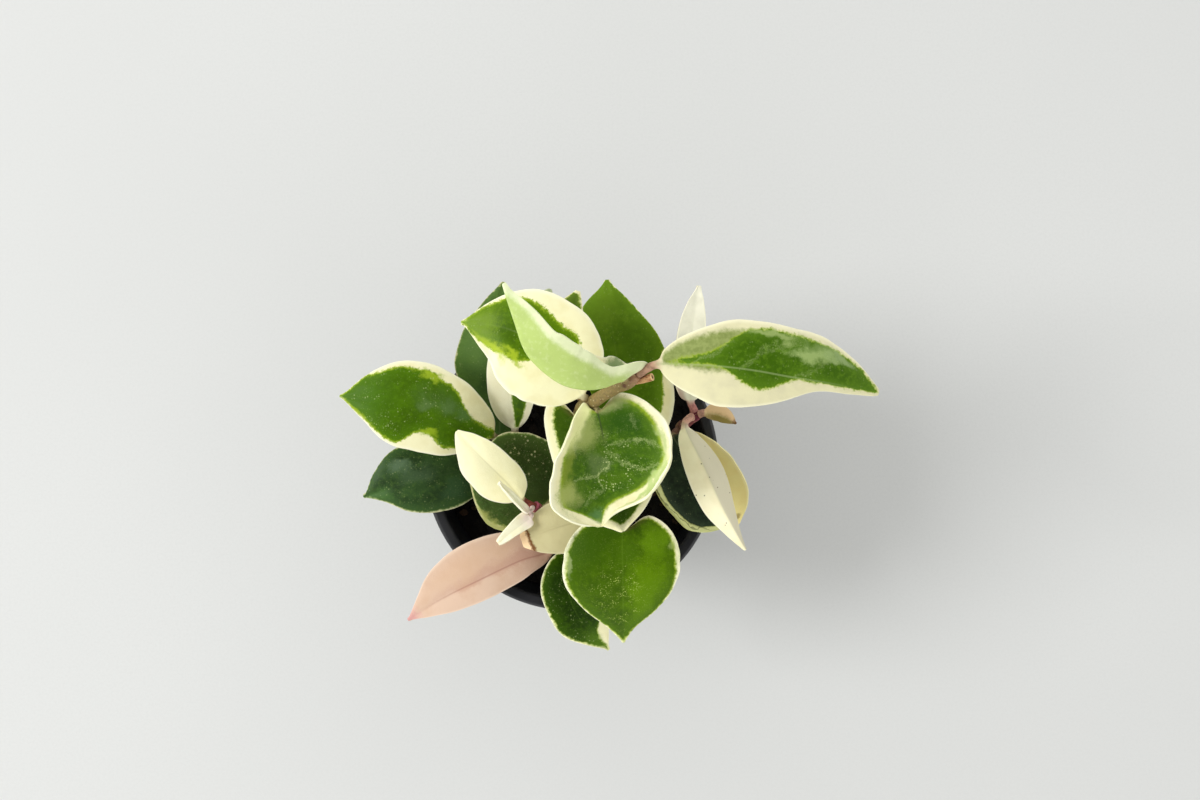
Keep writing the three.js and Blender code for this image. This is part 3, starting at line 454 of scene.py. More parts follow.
def finished(bm, name, material, nodes, levels=1, sharp=pi):
    """Makes the bmesh an object that rides on the plant and stands for its CAD nodes."""
    for face in bm.faces:
        face.smooth = True
    for edge in bm.edges:
        edge.smooth = len(edge.link_faces) != 2 or edge.calc_face_angle() < sharp
    obj = placed(bm, name)
    obj.data.materials.append(material)
    if levels:
        rounding = obj.modifiers.new("rounding", "SUBSURF")
        rounding.levels = levels
        rounding.render_levels = levels
    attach(obj, "root")
    if nodes:
        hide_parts(*nodes)


# ------------------------------------------------------------------ material nodes

class Finish:
    """Builds one material's nodes; each method returns the socket that it makes."""

    def __init__(self, name, bump_distance=0.4 * MM):
        self.material = bpy.data.materials.new(name)
        self.material.use_nodes = True
        self.tree = self.material.node_tree
        self.tree.nodes.clear()
        self.shader = self.tree.nodes.new("ShaderNodeBsdfPrincipled")
        output = self.tree.nodes.new("ShaderNodeOutputMaterial")
        self.tree.links.new(self.shader.outputs["BSDF"], output.inputs["Surface"])
        self.place = self.node("TexCoord", output="Object")
        self.bump_distance = bump_distance

    def put(self, node, key, value):
        """Links or sets an input; a colour may also be written as 0xRRGGBB."""
        socket = node.inputs[key]
        if isinstance(value, bpy.types.NodeSocket):
            self.tree.links.new(value, socket)
        elif socket.type == "RGBA":
            socket.default_value = (*(srgb(value) if isinstance(value, int) else value), 1)
        else:
            socket.default_value = value

    def node(self, kind, inputs=(), output=0, **options):
        """A new node with its inputs given in order, or by name or number."""
        made = self.tree.nodes.new("ShaderNode" + kind)
        for key, value in options.items():
            setattr(made, key, value)
        for key, value in inputs.items() if isinstance(inputs, dict) else enumerate(inputs):
            self.put(made, key, value)
        return made.outputs[output]

    def attribute(self, name):
        return self.node("Attribute", output="Fac", attribute_name=name)

    def math(self, operation, a, b=0.0, c=0.0):
        return self.node("Math", (a, b, c), operation=operation)

    def plus(self, a, b):
        return self.math("ADD", a, b)

    def times(self, a, b):
        return self.math("MULTIPLY", a, b)

    def shifted(self, base, waver, amount):
        """A value moved to and fro by a noise of 0 to 1."""
        return self.math("MULTIPLY_ADD", self.math("SUBTRACT", waver, 0.5), amount, base)

    def smooth(self, value, low, high, start=0.0, end=1.0):
        """Start below low, end above high, smoothly between."""
        return self.node("MapRange", (value, low, high, start, end),
                         interpolation_type="SMOOTHSTEP")

    def mix(self, share, under, over):
        return self.node("Mix", {0: share, 6: under, 7: over}, 2, data_type="RGBA")

    def laid(self, under, over, value, low, high, share=1.0):
        """One colour laid over another where a value rises from low to high."""
        return self.mix(self.smooth(value, low, high, 0.0, share), under, over)

    def noise(self, per_mm, detail=3.0, rough=0.5, seed=0.0, stretch=(1, 1, 1)):
        """Noise from 0 to 1 with so many features per millimetre."""
        shift = {"Vector": self.place, "Location": (seed, seed * 0.7, seed * 0.3),
                 "Scale": stretch}
        return self.node("TexNoise", {"Vector": self.node("Mapping", shift),
                                      "Scale": per_mm / MM, "Detail": detail,
                                      "Roughness": rough})

    def spots(self, per_mm, share, radius, seed=0.0):
        """Round spots in a share of the cells of a scattered pattern."""
        place = self.node("Mapping", {"Vector": self.place, "Location": (seed, seed, seed)})
        far = self.node("TexVoronoi", {"Vector": place, "Scale": per_mm / MM}, "Distance")
        cell = self.node("SeparateColor", (far.node.outputs["Color"],))
        disc = self.smooth(far, radius * 0.4, radius, 1.0, 0.0)
        return self.times(self.math("LESS_THAN", cell, share), disc)

    def vector(self, operation, a, b=(0.0, 0.0, 0.0), scale=1.0, output=0):
        return self.node("VectorMath", {0: a, 1: b, 3: scale}, output, operation=operation)

    def distance(self, offset):
        return self.vector("LENGTH", offset, output=1)

    def to_segment(self, place, start, end):
        """Distance of a place from a straight segment."""
        run = Vector(end) - Vector(start)
        offset = self.vector("SUBTRACT", place, start)
        along = self.vector("DOT_PRODUCT", offset, tuple(run / run.length_squared), output=1)
        along = self.math("MINIMUM", self.math("MAXIMUM", along, 0.0), 1.0)
        nearest = self.vector("SCALE", tuple(run), scale=along)
        return self.distance(self.vector("SUBTRACT", offset, nearest))

    def to_oval(self, along, across, u, a, length, width):
        """Squared distance of a place from an oval's middle, 1 on the oval."""
        du = self.math("DIVIDE", self.math("SUBTRACT", along, u), length)
        da = self.math("DIVIDE", self.math("SUBTRACT", across, a), width)
        return self.plus(self.times(du, du), self.times(da, da))

    def bump(self, height, strength):
        bump = {"Strength": strength, "Distance": self.bump_distance, "Height": height}
        self.put(self.shader, "Normal", self.node("Bump", bump))

    def done(self, colour, roughness, specular, coat=0.0):
        looks = {"Base Color": colour, "Roughness": roughness, "Specular IOR Level": specular,
                 "Coat Weight": coat, "Coat Roughness": 0.28}
        for key, value in looks.items():
            self.put(self.shader, key, value)
        return self.material


# ------------------------------------------------------------------ settings

class HoyaLeafSettings(bpy.types.PropertyGroup):
    gloss: FloatProperty(
        name="Gloss", description="How strongly the waxy skin of a leaf shines",
        default=0.03, min=0, max=1, subtype="FACTOR")
    roughness: FloatProperty(
        name="Roughness", description="Roughness of a leaf's skin",
        default=0.42, min=0, max=1, subtype="FACTOR")
    midrib: FloatProperty(
        name="Midrib", description="Half the thickness of a blade over its midrib",
        default=0.85 * MM, unit="LENGTH", precision=5)
    margin: FloatProperty(
        name="Margin", description="Half the thickness of a blade at its margin",
        default=0.4 * MM, unit="LENGTH", precision=5)
    quilting: FloatProperty(
        name="Quilting", description="Depth of the furrows over the side veins",
        default=0.3 * MM, unit="LENGTH", precision=5)
    waving: FloatProperty(
        name="Waving", description="How far a margin waves up and down",
        default=0.35 * MM, unit="LENGTH", precision=5)
    vein_tint: FloatProperty(
        name="Vein tint", description="How strongly the silvery side veins are drawn",
        default=0.7, min=0, max=1, subtype="FACTOR")
    fleck: FloatVectorProperty(
        name="Flecks", description="Colour of the silvery flecks",
        default=srgb(0xC4D28C), size=3, subtype="COLOR")


class HoyaStemSettings(bpy.types.PropertyGroup):
    sides: IntProperty(
        name="Sides", description="Faces round a stem", default=20, min=8, max=64)
    bark: FloatProperty(
        name="Bark", description="Height of the bark's unevenness",
        default=0.12 * MM, unit="LENGTH", precision=5)
    cut: FloatVectorProperty(
        name="Cut end", description="Colour of the dried cut end of the flower stalk",
        default=srgb(0xE8C48A), size=3, subtype="COLOR")


class HoyaPotSettings(bpy.types.PropertyGroup):
    plastic: FloatVectorProperty(
        name="Plastic", description="Colour of the pot",
        default=srgb(0x17181D), size=3, subtype="COLOR")
    steps: IntProperty(
        name="Steps", description="Faces round the pot", default=144, min=24, max=360)
    # the soil colour is darker than damp mix alone: partly painted shade deep in the pot
    soil: FloatVectorProperty(
        name="Soil", description="Colour of the damp potting mix",
        default=srgb(0x1A1613), size=3, subtype="COLOR")
    chips: IntProperty(
        name="Chips", description="Number of bark chips on the soil", default=520, min=0)


class HoyaStageSettings(bpy.types.PropertyGroup):
    floor: FloatVectorProperty(
        name="Floor", description="Colour of the floor",
        default=srgb(0xDDDEDC), size=3, subtype="COLOR")
    camera_height: FloatProperty(
        name="Camera height", description="Height of the camera above the rim",
        default=430 * MM, unit="LENGTH")
    lens: FloatProperty(
        name="Lens", description="Focal length in millimetres", default=37.32, min=10)
    key: FloatProperty(
        name="Key light", description="Power of the soft light from the upper left",
        default=37.0, unit="POWER")
    sky: FloatProperty(
        name="Side light", description="Strength of the even light from the horizon",
        default=1.9, min=0)
    overhead: FloatProperty(
        name="Overhead light", description="Strength of the even light from straight above",
        default=0.2, min=0)


SETTINGS = {"hoya_leaf": HoyaLeafSettings, "hoya_stem": HoyaStemSettings,
            "hoya_pot": HoyaPotSettings, "hoya_stage": HoyaStageSettings}


# ------------------------------------------------------------------ leaf shape

STEM_GAP = 0.3                    # between a solid petiole and the skin of its stem
SUNK = 1.1                        # how far a petiole runs on into the stem
PETIOLE_RINGS = 5
ARC = 80                          # degrees from a petiole's top to its side columns
SIDE_VEINS = 7
FAR_OUT = -9.0                    # depth where a leaf has no green or pale part at all
DEEPEST = 12.0
LEAF_LAYERS = ("along", "across", "rib", "green", "pale", "under")


def stem_at(name):
    """Radius and direction of the stem at one of its nodes, and whether it ends there."""
    point = NODE[name]
    for stem in STEMS.values():
        if point in stem["path"]:
            i = stem["path"].index(point)
            ends = i == len(stem["path"]) - 1
            after = stem["path"][i if ends else i + 1]
            along = (Vector(after) - Vector(stem["path"][i - 1])).normalized()
            return stem["radii"][i], along, ends
    raise ValueError("no stem holds the node " + name)


def leaf_path(leaf):
    """The leaf's points, with its petiole beginning just inside the stem's skin."""
    points = [Vector(NODE[leaf["start"]])] + [Vector(p) for p in leaf["path"]]
    radius, along, ends = stem_at(leaf["start"])
    away = (points[1] - points[0]).normalized()
    cosine = abs(away.dot(along))
    sine = sqrt(1 - cosine * cosine)
    reach = (radius + STEM_GAP + leaf["petiole"] * cosine) / sine
    if ends and away.dot(along) > 0:
        reach = min(reach, (STEM_GAP + leaf["petiole"] * sine) / cosine)
    points[0] = points[0] + away * (reach + leaf["clear"] - SUNK)
    return points


def bound_at(bands, u, which):
    """A green or pale part's bound at a place along the blade."""
    for before, after in zip(bands, bands[1:]):
        if u <= after[0]:
            return lerp(before[which], after[which], between(u, before[0], after[0]))
    return bands[-1][which]


def band_depth(bands, u, a, half_width, length):
    """Millimetres inside a green or pale part, or minus the distance outside it."""
    if not bands:
        return FAR_OUT
    depth = min((a - bound_at(bands, u, 1)) * half_width,
                (bound_at(bands, u, 2) - a) * half_width)
    if u < bands[0][0]:
        depth = min(depth, (u - bands[0][0]) * length)
    if u > bands[-1][0]:
        depth = min(depth, (bands[-1][0] - u) * length)
    return depth


def half_section(leaf, sign, u, radius, columns, seed):
    """Offsets (across, up, back) of one half's columns from the midrib, and its width."""
    side, which = ("left", 0) if sign < 0 else ("right", 1)
    if u < 0:
        return [(radius * sin(radians(ARC) * a), 0.0, 0.0) for a in columns], radius
    station = acos(1 - 2 * u) / pi
    width = spline([radius] + leaf[side] + [leaf["tip"]], station)
    ripple = noise_at(u * 7 + seed, sign * 3.0, seed)
    ripple += 0.5 * noise_at(u * 21 + seed, sign * 5.0, seed)
    width *= 1 + 0.03 * ripple * ease(u, 0.03, 0.15)
    opening = min(1.0, u * 8)
    sweep = leaf["lobe"][which] * min(1.0, u * 90) * (1 - u) ** 7
    curl = 0.0
    if leaf["curl"] and leaf["curl"][0] == side:
        start, end, most = leaf["curl"][1:]
        curl = most * sin(pi * between(u, start, end))
    flatness = ease(u, 0.0, 0.06)
    out, up, before, reached, places = 0.0, 0.0, 0.0, 0.0, []
    for a in columns:
        middle = (before + a) / 2
        angle = opening * (leaf["fold"][which] + leaf["bend"][which] * middle)
        angle = radians(angle + curl * max(0.0, (middle - 0.6) / 0.4))
        share = lerp(sin(radians(ARC) * a), a, flatness)
        step = (share - reached) * width
        out += step * cos(angle)
        up += step * sin(angle)
        places.append((out, up, -sweep * a ** 1.3))
        before, reached = a, share
    return places, width


def leaf_rows(leaf, settings, seed):
    """Mid-surface points, thicknesses and paint values of a leaf, ring by ring."""
    rings, across = leaf["detail"]
    points, radius = leaf_path(leaf), leaf["petiole"]
    begin = leaf["blade"] / (len(points) - 1)
    length = sum((spline(points, begin + (1 - begin) * (k + 1) / 20)
                  - spline(points, begin + (1 - begin) * k / 20)).length for k in range(20))
    stem_length = (spline(points, begin) - points[0]).length
    columns = [sin(k / across * pi / 2) ** 0.9 for k in range(1, across + 1)]
    waving = leaf["waving"] * settings.waving / MM
    roll = radians(leaf["roll"])
    rows = []
    for k in range(PETIOLE_RINGS + rings + 1):
        if k < PETIOLE_RINGS:
            t = begin * k / PETIOLE_RINGS
            u = -(1 - k / PETIOLE_RINGS) * stem_length / length
        else:
            f = (k - PETIOLE_RINGS) / rings
            u = lerp(f, (1 - cos(pi * f)) / 2, 0.65)
            t = begin + (1 - begin) * u
        centre = spline(points, t)
        along = heading(points, t)
        flat_side = along.cross(Vector((0, 0, 1))).normalized()
        flat_up = flat_side.cross(along)
        side = flat_side * cos(roll) - flat_up * sin(roll)
        up = flat_up * cos(roll) + flat_side * sin(roll)
        flare = radius * (1 + 0.3 * exp(-k * 1.2)) if u < 0 else radius
        halves = []
        for sign in (-1, 1):
            places, width = half_section(leaf, sign, u, flare, columns, seed)
            half = []
            for a, (out, lift, back) in zip(columns, places):
                wave = noise_at(u * 5.5 + seed, sign * 2.0, 1.7 * seed)
                swell = noise_at(u * 3 + seed, sign * a * 1.6, seed)
                lift += ease(u, 0.02, 0.2) * (wave * a ** 3 + 0.5 * swell) * waving
                point = centre + side * (sign * out) + up * lift + along * back
                half.append((point, sign * a, width))
            halves.append((half, width))
        (left, left_width), (right, right_width) = halves
        middle = (centre, 0.0, (left_width + right_width) / 2)
        rows.append((u, flare, left[::-1] + [middle] + right))
    return rows, length


def leaf_paint(leaf, u, a, width, length):
    """Paint values of one place on a blade, in the order of the layers."""
    edge = leaf["edge"][0 if a < 0 else 1]
    green = band_depth(leaf["green"], u, a, width, length)
    green = min(green, (1 - abs(a)) * width - edge)
    pale = band_depth(leaf["pale"], u, a, width, length)
    limited = (max(-DEEPEST, min(DEEPEST, depth)) for depth in (green, pale))
    return u, a, a * width, *limited


def leaf_mesh(name, leaf, settings):
    """One closed leaf: its grid runs across the top and back along the underside."""
    seed = 1.0 + 3.7 * list(LEAVES).index(name)
    rows, length = leaf_rows(leaf, settings, seed)
    across = len(rows[0][2])
    around = across * 2
    bm, places, layers = wrapped_grid(len(rows) - 1, around, LEAF_LAYERS)
    quilt = leaf["quilt"] * settings.quilting / MM
    for vert, (i, k) in places.items():
        u, radius, row = rows[i]
        on_top = k < across
        j = k if on_top else around - 1 - k
        point, a, width = row[j]
        before = rows[max(i - 1, 0)][2][j][0]
        after = rows[min(i + 1, len(rows) - 1)][2][j][0]
        sideways = row[min(j + 1, across - 1)][0] - row[max(j - 1, 0)][0]
        normal = sideways.cross(after - before).normalized()
        round_half = radius * cos(radians(ARC) * a)
        rib = exp(-((a * width) / 0.9) ** 2)
        body = lerp(settings.midrib / MM * 0.8, settings.margin / MM, abs(a) ** 1.5)
        furrow = 0.0
        if u > 0:
            phase = SIDE_VEINS * (u - 0.28 * abs(a) ** 1.2)
            bow = sin(pi * min(abs(a) * 1.05, 1.0)) ** 0.7
            furrow = quilt * bow * (cos(2 * pi * phase) - 1) / 2 * ease(u, 0.0, 0.15)
        top = body - 0.22 * rib + furrow
        bottom = body + 0.25 * rib - 0.2 * furrow
        thickness = lerp(round_half, top if on_top else bottom, ease(u, 0.0, 0.09))
        vert.co = (point + normal * (thickness if on_top else -thickness)) * MM
        vert.co.z += RIM
        under = 0.0 if on_top else 1.0
        for layer, value in zip(layers, (*leaf_paint(leaf, u, a, width, length), under)):
            vert[layer] = value
    close_up(bm)
    return bm


# ------------------------------------------------------------------ leaf finish

VEIN_SHEET = (40.0, 13.0)         # length and half width of the sheet that veins lie on


class LeafSkin(Finish):
    """A leaf's waxy skin, layer by layer, with the values that its layers share."""

    def __init__(self, name, leaf):
        super().__init__("leaf_" + name)
        self.leaf, self.palette = leaf, leaf["palette"]
        self.seed = 0.013 * (1 + list(LEAVES).index(name))
        self.along, self.across = self.attribute("along"), self.attribute("across")
        self.clouds = self.noise(0.16, 3, 0.55, self.seed)
        self.mottle = self.noise(0.7, 4, 0.6, self.seed + 0.2)
        self.grain = self.noise(2.6, 3, 0.6, self.seed + 0.4)
        wide, fine = leaf["ragged"]
        self.ragged = self.shifted(self.shifted(0.0, self.grain, fine), self.mottle, wide)
        self.depth = self.plus(self.attribute("green"), self.ragged)
        self.strayed = self.shifted(self.along, self.mottle, 0.07)
        self.slipped = self.shifted(self.across, self.clouds, 0.7)

    def cream(self):
        """The pale ground, with its rim, its green wash and a half of another colour."""
        palette = self.palette
        cream = self.laid(palette["cream"], palette["shade"], self.clouds, 0.38, 0.72)
        reach = self.math("ABSOLUTE", self.across)
        cream = self.laid(cream, palette["rim"], reach, 0.88, 1.0, 0.8)
        if self.leaf["pale"]:
            wash = self.plus(self.attribute("pale"), self.times(self.ragged, 0.8))
            pale = self.laid(*PALE_WASH, self.mottle, 0.35, 0.65)
            cream = self.laid(cream, pale, wash, -0.8, 1.8, 0.92)
        if self.leaf["half"]:
            sign, colour = self.leaf["half"]
            side = self.times(self.across, float(sign))
            cream = self.laid(cream, colour, side, -0.03, 0.06)
        return cream

    def green(self):
        """The green part, from its lime fringe inwards."""
        palette, fringe = self.palette, self.leaf["lime_width"]
        green = self.laid(palette["lime"], palette["green"], self.depth, 0.0, fringe)
        inwards = self.smooth(self.depth, fringe * 0.8, fringe * 0.8 + 4.0)
        deep = self.times(inwards, self.smooth(self.clouds, 0.3, 0.62, 0.2, 1.0))
        green = self.mix(deep, green, palette["deep"])
        return self.laid(green, palette["bright"], self.mottle, 0.45, 0.72, 0.55)

    def patched(self, top):
        # some leaves' patches are painted shade or painted reflection, as noted at those leaves
        for colour, u, a, length, width, share in self.leaf["patches"]:
            far = self.to_oval(self.strayed, self.slipped, u, a, length, width)
            far = self.shifted(self.math("SQRT", far), self.grain, 0.7)
            top = self.laid(top, colour, far, 1.35, 0.35, share)
        return top

    def flecked(self, top, silver):
        """Pale flecks and finer dust, which gather in the fleck zone."""
        leaf = self.leaf
        dots = self.spots(1.3 / leaf["fleck_size"], leaf["fleck_share"], 0.42, self.seed)
        crowd = self.smooth(self.noise(0.3, 2, 0.5, self.seed + 0.7), 0.42, 0.62)
        dust = self.times(self.spots(2.2, 0.45, 0.36, self.seed + 0.3), 0.6)
        if leaf["fleck_zone"]:
            far = self.to_oval(self.along, self.across, *leaf["fleck_zone"])
            crowd = self.times(crowd, self.smooth(far, 1.2, 0.3, 0.08, 1.0))
        dust = self.times(dust, self.math("MULTIPLY_ADD", crowd, 0.8, 0.2))
        dots = self.math("MAXIMUM", self.times(dots, crowd), dust)
        dots = self.times(dots, self.smooth(self.depth, 0.0, 1.0))
        share = min(0.85, 0.55 * leaf["flecks"])
        return self.mix(self.times(dots, share), top, leaf["fleck_colour"] or silver)

    def veined(self, top, silver, tint):
        """Silvery side veins with crystals scattered along them."""
        sheet = self.node("CombineXYZ", (self.times(self.strayed, VEIN_SHEET[0]),
                                         self.times(self.slipped, VEIN_SHEET[1])))
        crystals = self.spots(2.0, 0.6, 0.42, self.seed + 0.5)
        broken = self.smooth(self.grain, 0.38, 0.62, 0.15, 0.75)
        for *ends, share in self.leaf["veins"]:
            u0, a0, u1, a1 = (at * size for at, size in zip(ends, VEIN_SHEET * 2))
            far = self.to_segment(sheet, (u0, a0, 0.0), (u1, a1, 0.0))
            line = self.times(self.smooth(far, 0.15, 0.7, share, 0.0), broken)
            dusted = self.times(crystals, self.smooth(far, 0.4, 1.7, share, 0.0))
            line = self.math("MAXIMUM", line, self.times(dusted, self.leaf["crystals"]))
            top = self.mix(self.times(line, tint), top, silver)
        return top

    def ribbed(self, top):
        colour, share, end = (*self.leaf["rib"], 0.95)[:3]
        line = self.math("ABSOLUTE", self.attribute("rib"))
        line = self.times(self.smooth(line, 0.1, 0.42, share, 0.0),
                          self.smooth(self.along, end, end * 0.55))
        return self.mix(line, top, colour)

    def underside(self):
        green, cream = self.palette["under_green"], self.palette["under_cream"]
        lively = self.leaf["marbling"]
        reached = self.plus(self.depth, self.leaf["under_reach"])
        below = self.laid(cream, green, reached, -0.6, 1.6)
        below = self.laid(below, darker(green, 0.68), self.clouds, 0.42, 0.66, 0.55 * lively)
        return self.laid(below, cream, self.mottle, 0.5, 0.72, 0.6 * lively)

    def dried(self, colour):
        tip, start = self.leaf["dry_tip"]
        edge = self.plus(self.along, self.times(self.mottle, 0.06))
        colour = self.laid(colour, DRY_EDGE, edge, start, start + 0.02)
        return self.laid(colour, tip, edge, start + 0.025, start + 0.05)


def leaf_finish(name, leaf, settings):
    """Cream margin, lime fringe, mottled green, flecks, veins and a paler underside."""
    skin = LeafSkin(name, leaf)
    top = skin.laid(skin.cream(), skin.green(), skin.depth, -leaf["soft"], leaf["soft"])
    top = skin.patched(top)
    if leaf["flecks"]:
        top = skin.flecked(top, settings.fleck)
    if leaf["specks"]:
        top = skin.mix(skin.spots(0.7, leaf["specks"], 0.22, skin.seed), top, SPECK)
    if leaf["veins"]:
        top = skin.veined(top, settings.fleck, settings.vein_tint)
    colour = skin.laid(skin.ribbed(top), skin.underside(), skin.attribute("under"), 0.3, 0.7)
    petiole = skin.palette["petiole"]
    stalk = skin.laid(petiole, darker(petiole, 0.6), skin.mottle, 0.4, 0.65)
    colour = skin.laid(colour, stalk, skin.along, 0.03, -0.03)
    if leaf["dry_tip"]:
        colour = skin.dried(colour)
    skin.bump(skin.math("MULTIPLY_ADD", skin.grain, 0.35, skin.times(skin.mottle, 0.5)), 0.35)
    rough = settings.roughness
    rough = skin.smooth(skin.mottle, 0.3, 0.7, rough - 0.05, rough + 0.08)
    return skin.done(colour, rough, 0.08, settings.gloss)


def build_leaves(names):
    settings = bpy.context.scene.hoya_leaf
    for name in names:
        leaf = LEAVES[name]
        bm = leaf_mesh(name, leaf, settings)
        finished(bm, "blade_" + name, leaf_finish(name, leaf, settings),
                 ["leaf_" + name])


# ------------------------------------------------------------------ stems

PITH, SCAR, BARK_SHADE, BARK_SPECK = 0x5A2E1A, 0x5A3420, 0x4A3A28, 0xD8CCA0
STALK_LIGHT, STALK_DARK = 0xC09462, 0x8A5430
CUT_LEVEL, PITH_LEVEL = 1.2, 1.5  # values of "height" on a stalk's cut end, past its tip's 1


def tube(path, radii, sides, steps, bark, seed):
    """A closed round tube with knots and uneven bark; "height" runs from base to tip."""
    points = [Vector(p) for p in path]
    bm, places, (level,) = wrapped_grid(steps, sides, ["height"])
    frames = []
    side = Vector((1, 0, 0))
    for i in range(steps + 1):
        t = i / steps
        along = heading(points, t)
        side = (side - along * side.dot(along)).normalized()
        frames.append((spline(points, t), side, along.cross(side), spline(radii, t), t))
    for vert, (i, j) in places.items():
        centre, side, other, radius, t = frames[i]
        turn = 2 * pi * j / sides
        x, y = cos(turn), sin(turn)
        ridge = noise_at(x * 1.3, y * 1.3, t * 60 + seed)
        ridge += 0.6 * noise_at(x * 3, y * 3, t * 25 + seed)
        radius += ridge * bark / MM
        vert.co = (centre + side * (radius * x) + other * (radius * y)) * MM
        vert.co.z += RIM
        vert[level] = t
    close_up(bm)
    return bm


def scar_centre(place):
    return Vector(place) * MM + Vector((0, 0, RIM))


def add_scars(bm):
    """Round scars where old leaves and flower stalks fell, pressed into the bark."""
    bm.normal_update()
    for place, size in SCARS:
        spot = scar_centre(place)
        for vert in bm.verts:
            near = (vert.co - spot).length / (size * MM)
            if near < 2:
                lip = 0.22 * exp(-((near - 1) / 0.35) ** 2)
                vert.co += vert.normal * (lip - 0.3 * exp(-(near / 0.6) ** 2)) * MM


def stem_finish(name, stem):
    """Bark that turns from woody tan at the foot to its tip colour, speckled."""
    bark = Finish("stem_" + name, 0.3 * MM)
    height = bark.attribute("height")
    mottle = bark.noise(0.9, 4, 0.6, 0.1)
    streak = bark.noise(1.6, 3, 0.6, 0.3, (1, 1, 0.3))
    colour = bark.laid(stem["base"], stem["tip"], height, *stem["turn"])
    colour = bark.laid(colour, stem["blush"], mottle, 0.42, 0.68, 0.8)
    colour = bark.laid(colour, BARK_SHADE, streak, 0.5, 0.75, 0.5)
    colour = bark.mix(bark.times(bark.spots(1.3, 0.25, 0.35), 0.6), colour, BARK_SPECK)
    if name == "main":
        for place, size in SCARS:
            offset = bark.vector("SUBTRACT", bark.place, tuple(scar_centre(place)))
            far = bark.distance(offset)
            colour = bark.laid(colour, SCAR, far, 0.95 * size * MM, 0.35 * size * MM, 0.85)
    bark.bump(bark.plus(mottle, bark.times(streak, 0.8)), 0.7)
    return bark.done(colour, 0.62, 0.35)


def build_stems():
    settings = bpy.context.scene.hoya_stem
    for seed, (name, stem) in enumerate(STEMS.items()):
        steps = 14 * (len(stem["path"]) - 1)
        bm = tube(stem["path"], stem["radii"], settings.sides, steps, settings.bark, seed * 9.0)
        if name == "main":
            add_scars(bm)
        finished(bm, "bark_" + name, stem_finish(name, stem), ["stem_" + name])
    build_stalk(settings)


def build_stalk(settings):
    """The cut flower stalk, with a pale ring round its dark pith."""
    bm = tube(STALK_PATH, STALK_RADII, settings.sides, 18, settings.bark * 0.6, 4.0)
    cut = max(bm.faces, key=lambda face: (len(face.verts), face.calc_center_median().x))
    ring = bmesh.ops.inset_region(bm, faces=[cut], thickness=0.55 * MM, depth=0.0)
    dip = bmesh.ops.inset_region(bm, faces=[cut], thickness=0.12 * MM, depth=-0.5 * MM)
    level = bm.verts.layers.float["height"]
    for face in ring["faces"] + dip["faces"]:
        for vert in face.verts:
            vert[level] = CUT_LEVEL
    for vert in cut.verts:
        vert[level] = PITH_LEVEL
    wood = Finish("flower_stalk", 0.3 * MM)
    height = wood.attribute("height")
    mottle = wood.noise(1.6, 3, 0.6, 0.2, (0.2, 1, 1))
    colour = wood.laid(STALK_LIGHT, STALK_DARK, mottle, 0.4, 0.62)
    colour = wood.laid(colour, settings.cut, height, 1.0, 1.12)
    colour = wood.laid(colour, PITH, height, 1.28, 1.45)
    wood.bump(mottle, 0.6)
    finished(bm, "cut_flower_stalk", wood.done(colour, 0.6, 0.35), [])


# ------------------------------------------------------------------ pot and soil
# All in millimetres; heights here are above the floor.

RIM_RADIUS = POT_HIGH[0] / MM
POT_HEIGHT = RIM / MM
COLLAR = POT_HEIGHT - 9           # where the wall meets the rim's collar
FOOT_RADIUS = 36.0
FOOT_DEPTH = 1.6                  # how far the middle disc stands below the outer ring
FLOOR_TOP = 3.2
WALL = 1.3
DRAINS, DRAIN_RADIUS, DRAIN_RING = 8, 3.6, 31.5
SOIL_FOOT = 3.5
SOIL_GAP = 0.4
SOIL_TOP = POT_HEIGHT - 12.5
SOIL_RINGS = 40
CREASE = radians(35)
DUST, SCUFF, BARK_CHIP = 0x5A554C, 0x4A4A4C, 0x4A3626


def rounded(profile, bend=0.35, steps=4):
    """The same outline with each inner corner eased by a short curve."""
    points = [Vector(profile[0])]
    for before, corner, after in zip(profile, profile[1:], profile[2:]):
        before, corner, after = Vector(before), Vector(corner), Vector(after)
        reach = min(bend * (before - corner).length, bend * (after - corner).length)
        start = corner + (before - corner).normalized() * reach
        end = corner + (after - corner).normalized() * reach
        for k in range(steps + 1):
            f = k / steps
            points.append(start * (1 - f) ** 2 + corner * 2 * f * (1 - f) + end * f * f)
    points.append(Vector(profile[-1]))
    return points


def turned(points, steps):
    """A body turned round the upright axis from (radius, height) points."""
    bm = bmesh.new()
    verts = [bm.verts.new((r * MM, 0, z * MM)) for r, z in points]
    edges = [bm.edges.new(pair) for pair in zip(verts, verts[1:])]
    bmesh.ops.spin(bm, geom=verts + edges, cent=(0, 0, 0), axis=(0, 0, 1), dvec=(0, 0, 0),
                   angle=2 * pi, steps=steps, use_merge=True)
    bmesh.ops.remove_doubles(bm, verts=bm.verts[:], dist=1e-6)
    bmesh.ops.dissolve_degenerate(bm, dist=1e-6, edges=bm.edges[:])
    bmesh.ops.recalc_face_normals(bm, faces=bm.faces[:])
    return bm


def wall_radius(z):
    return lerp(FOOT_RADIUS, RIM_RADIUS - 2.2, z / POT_HEIGHT)


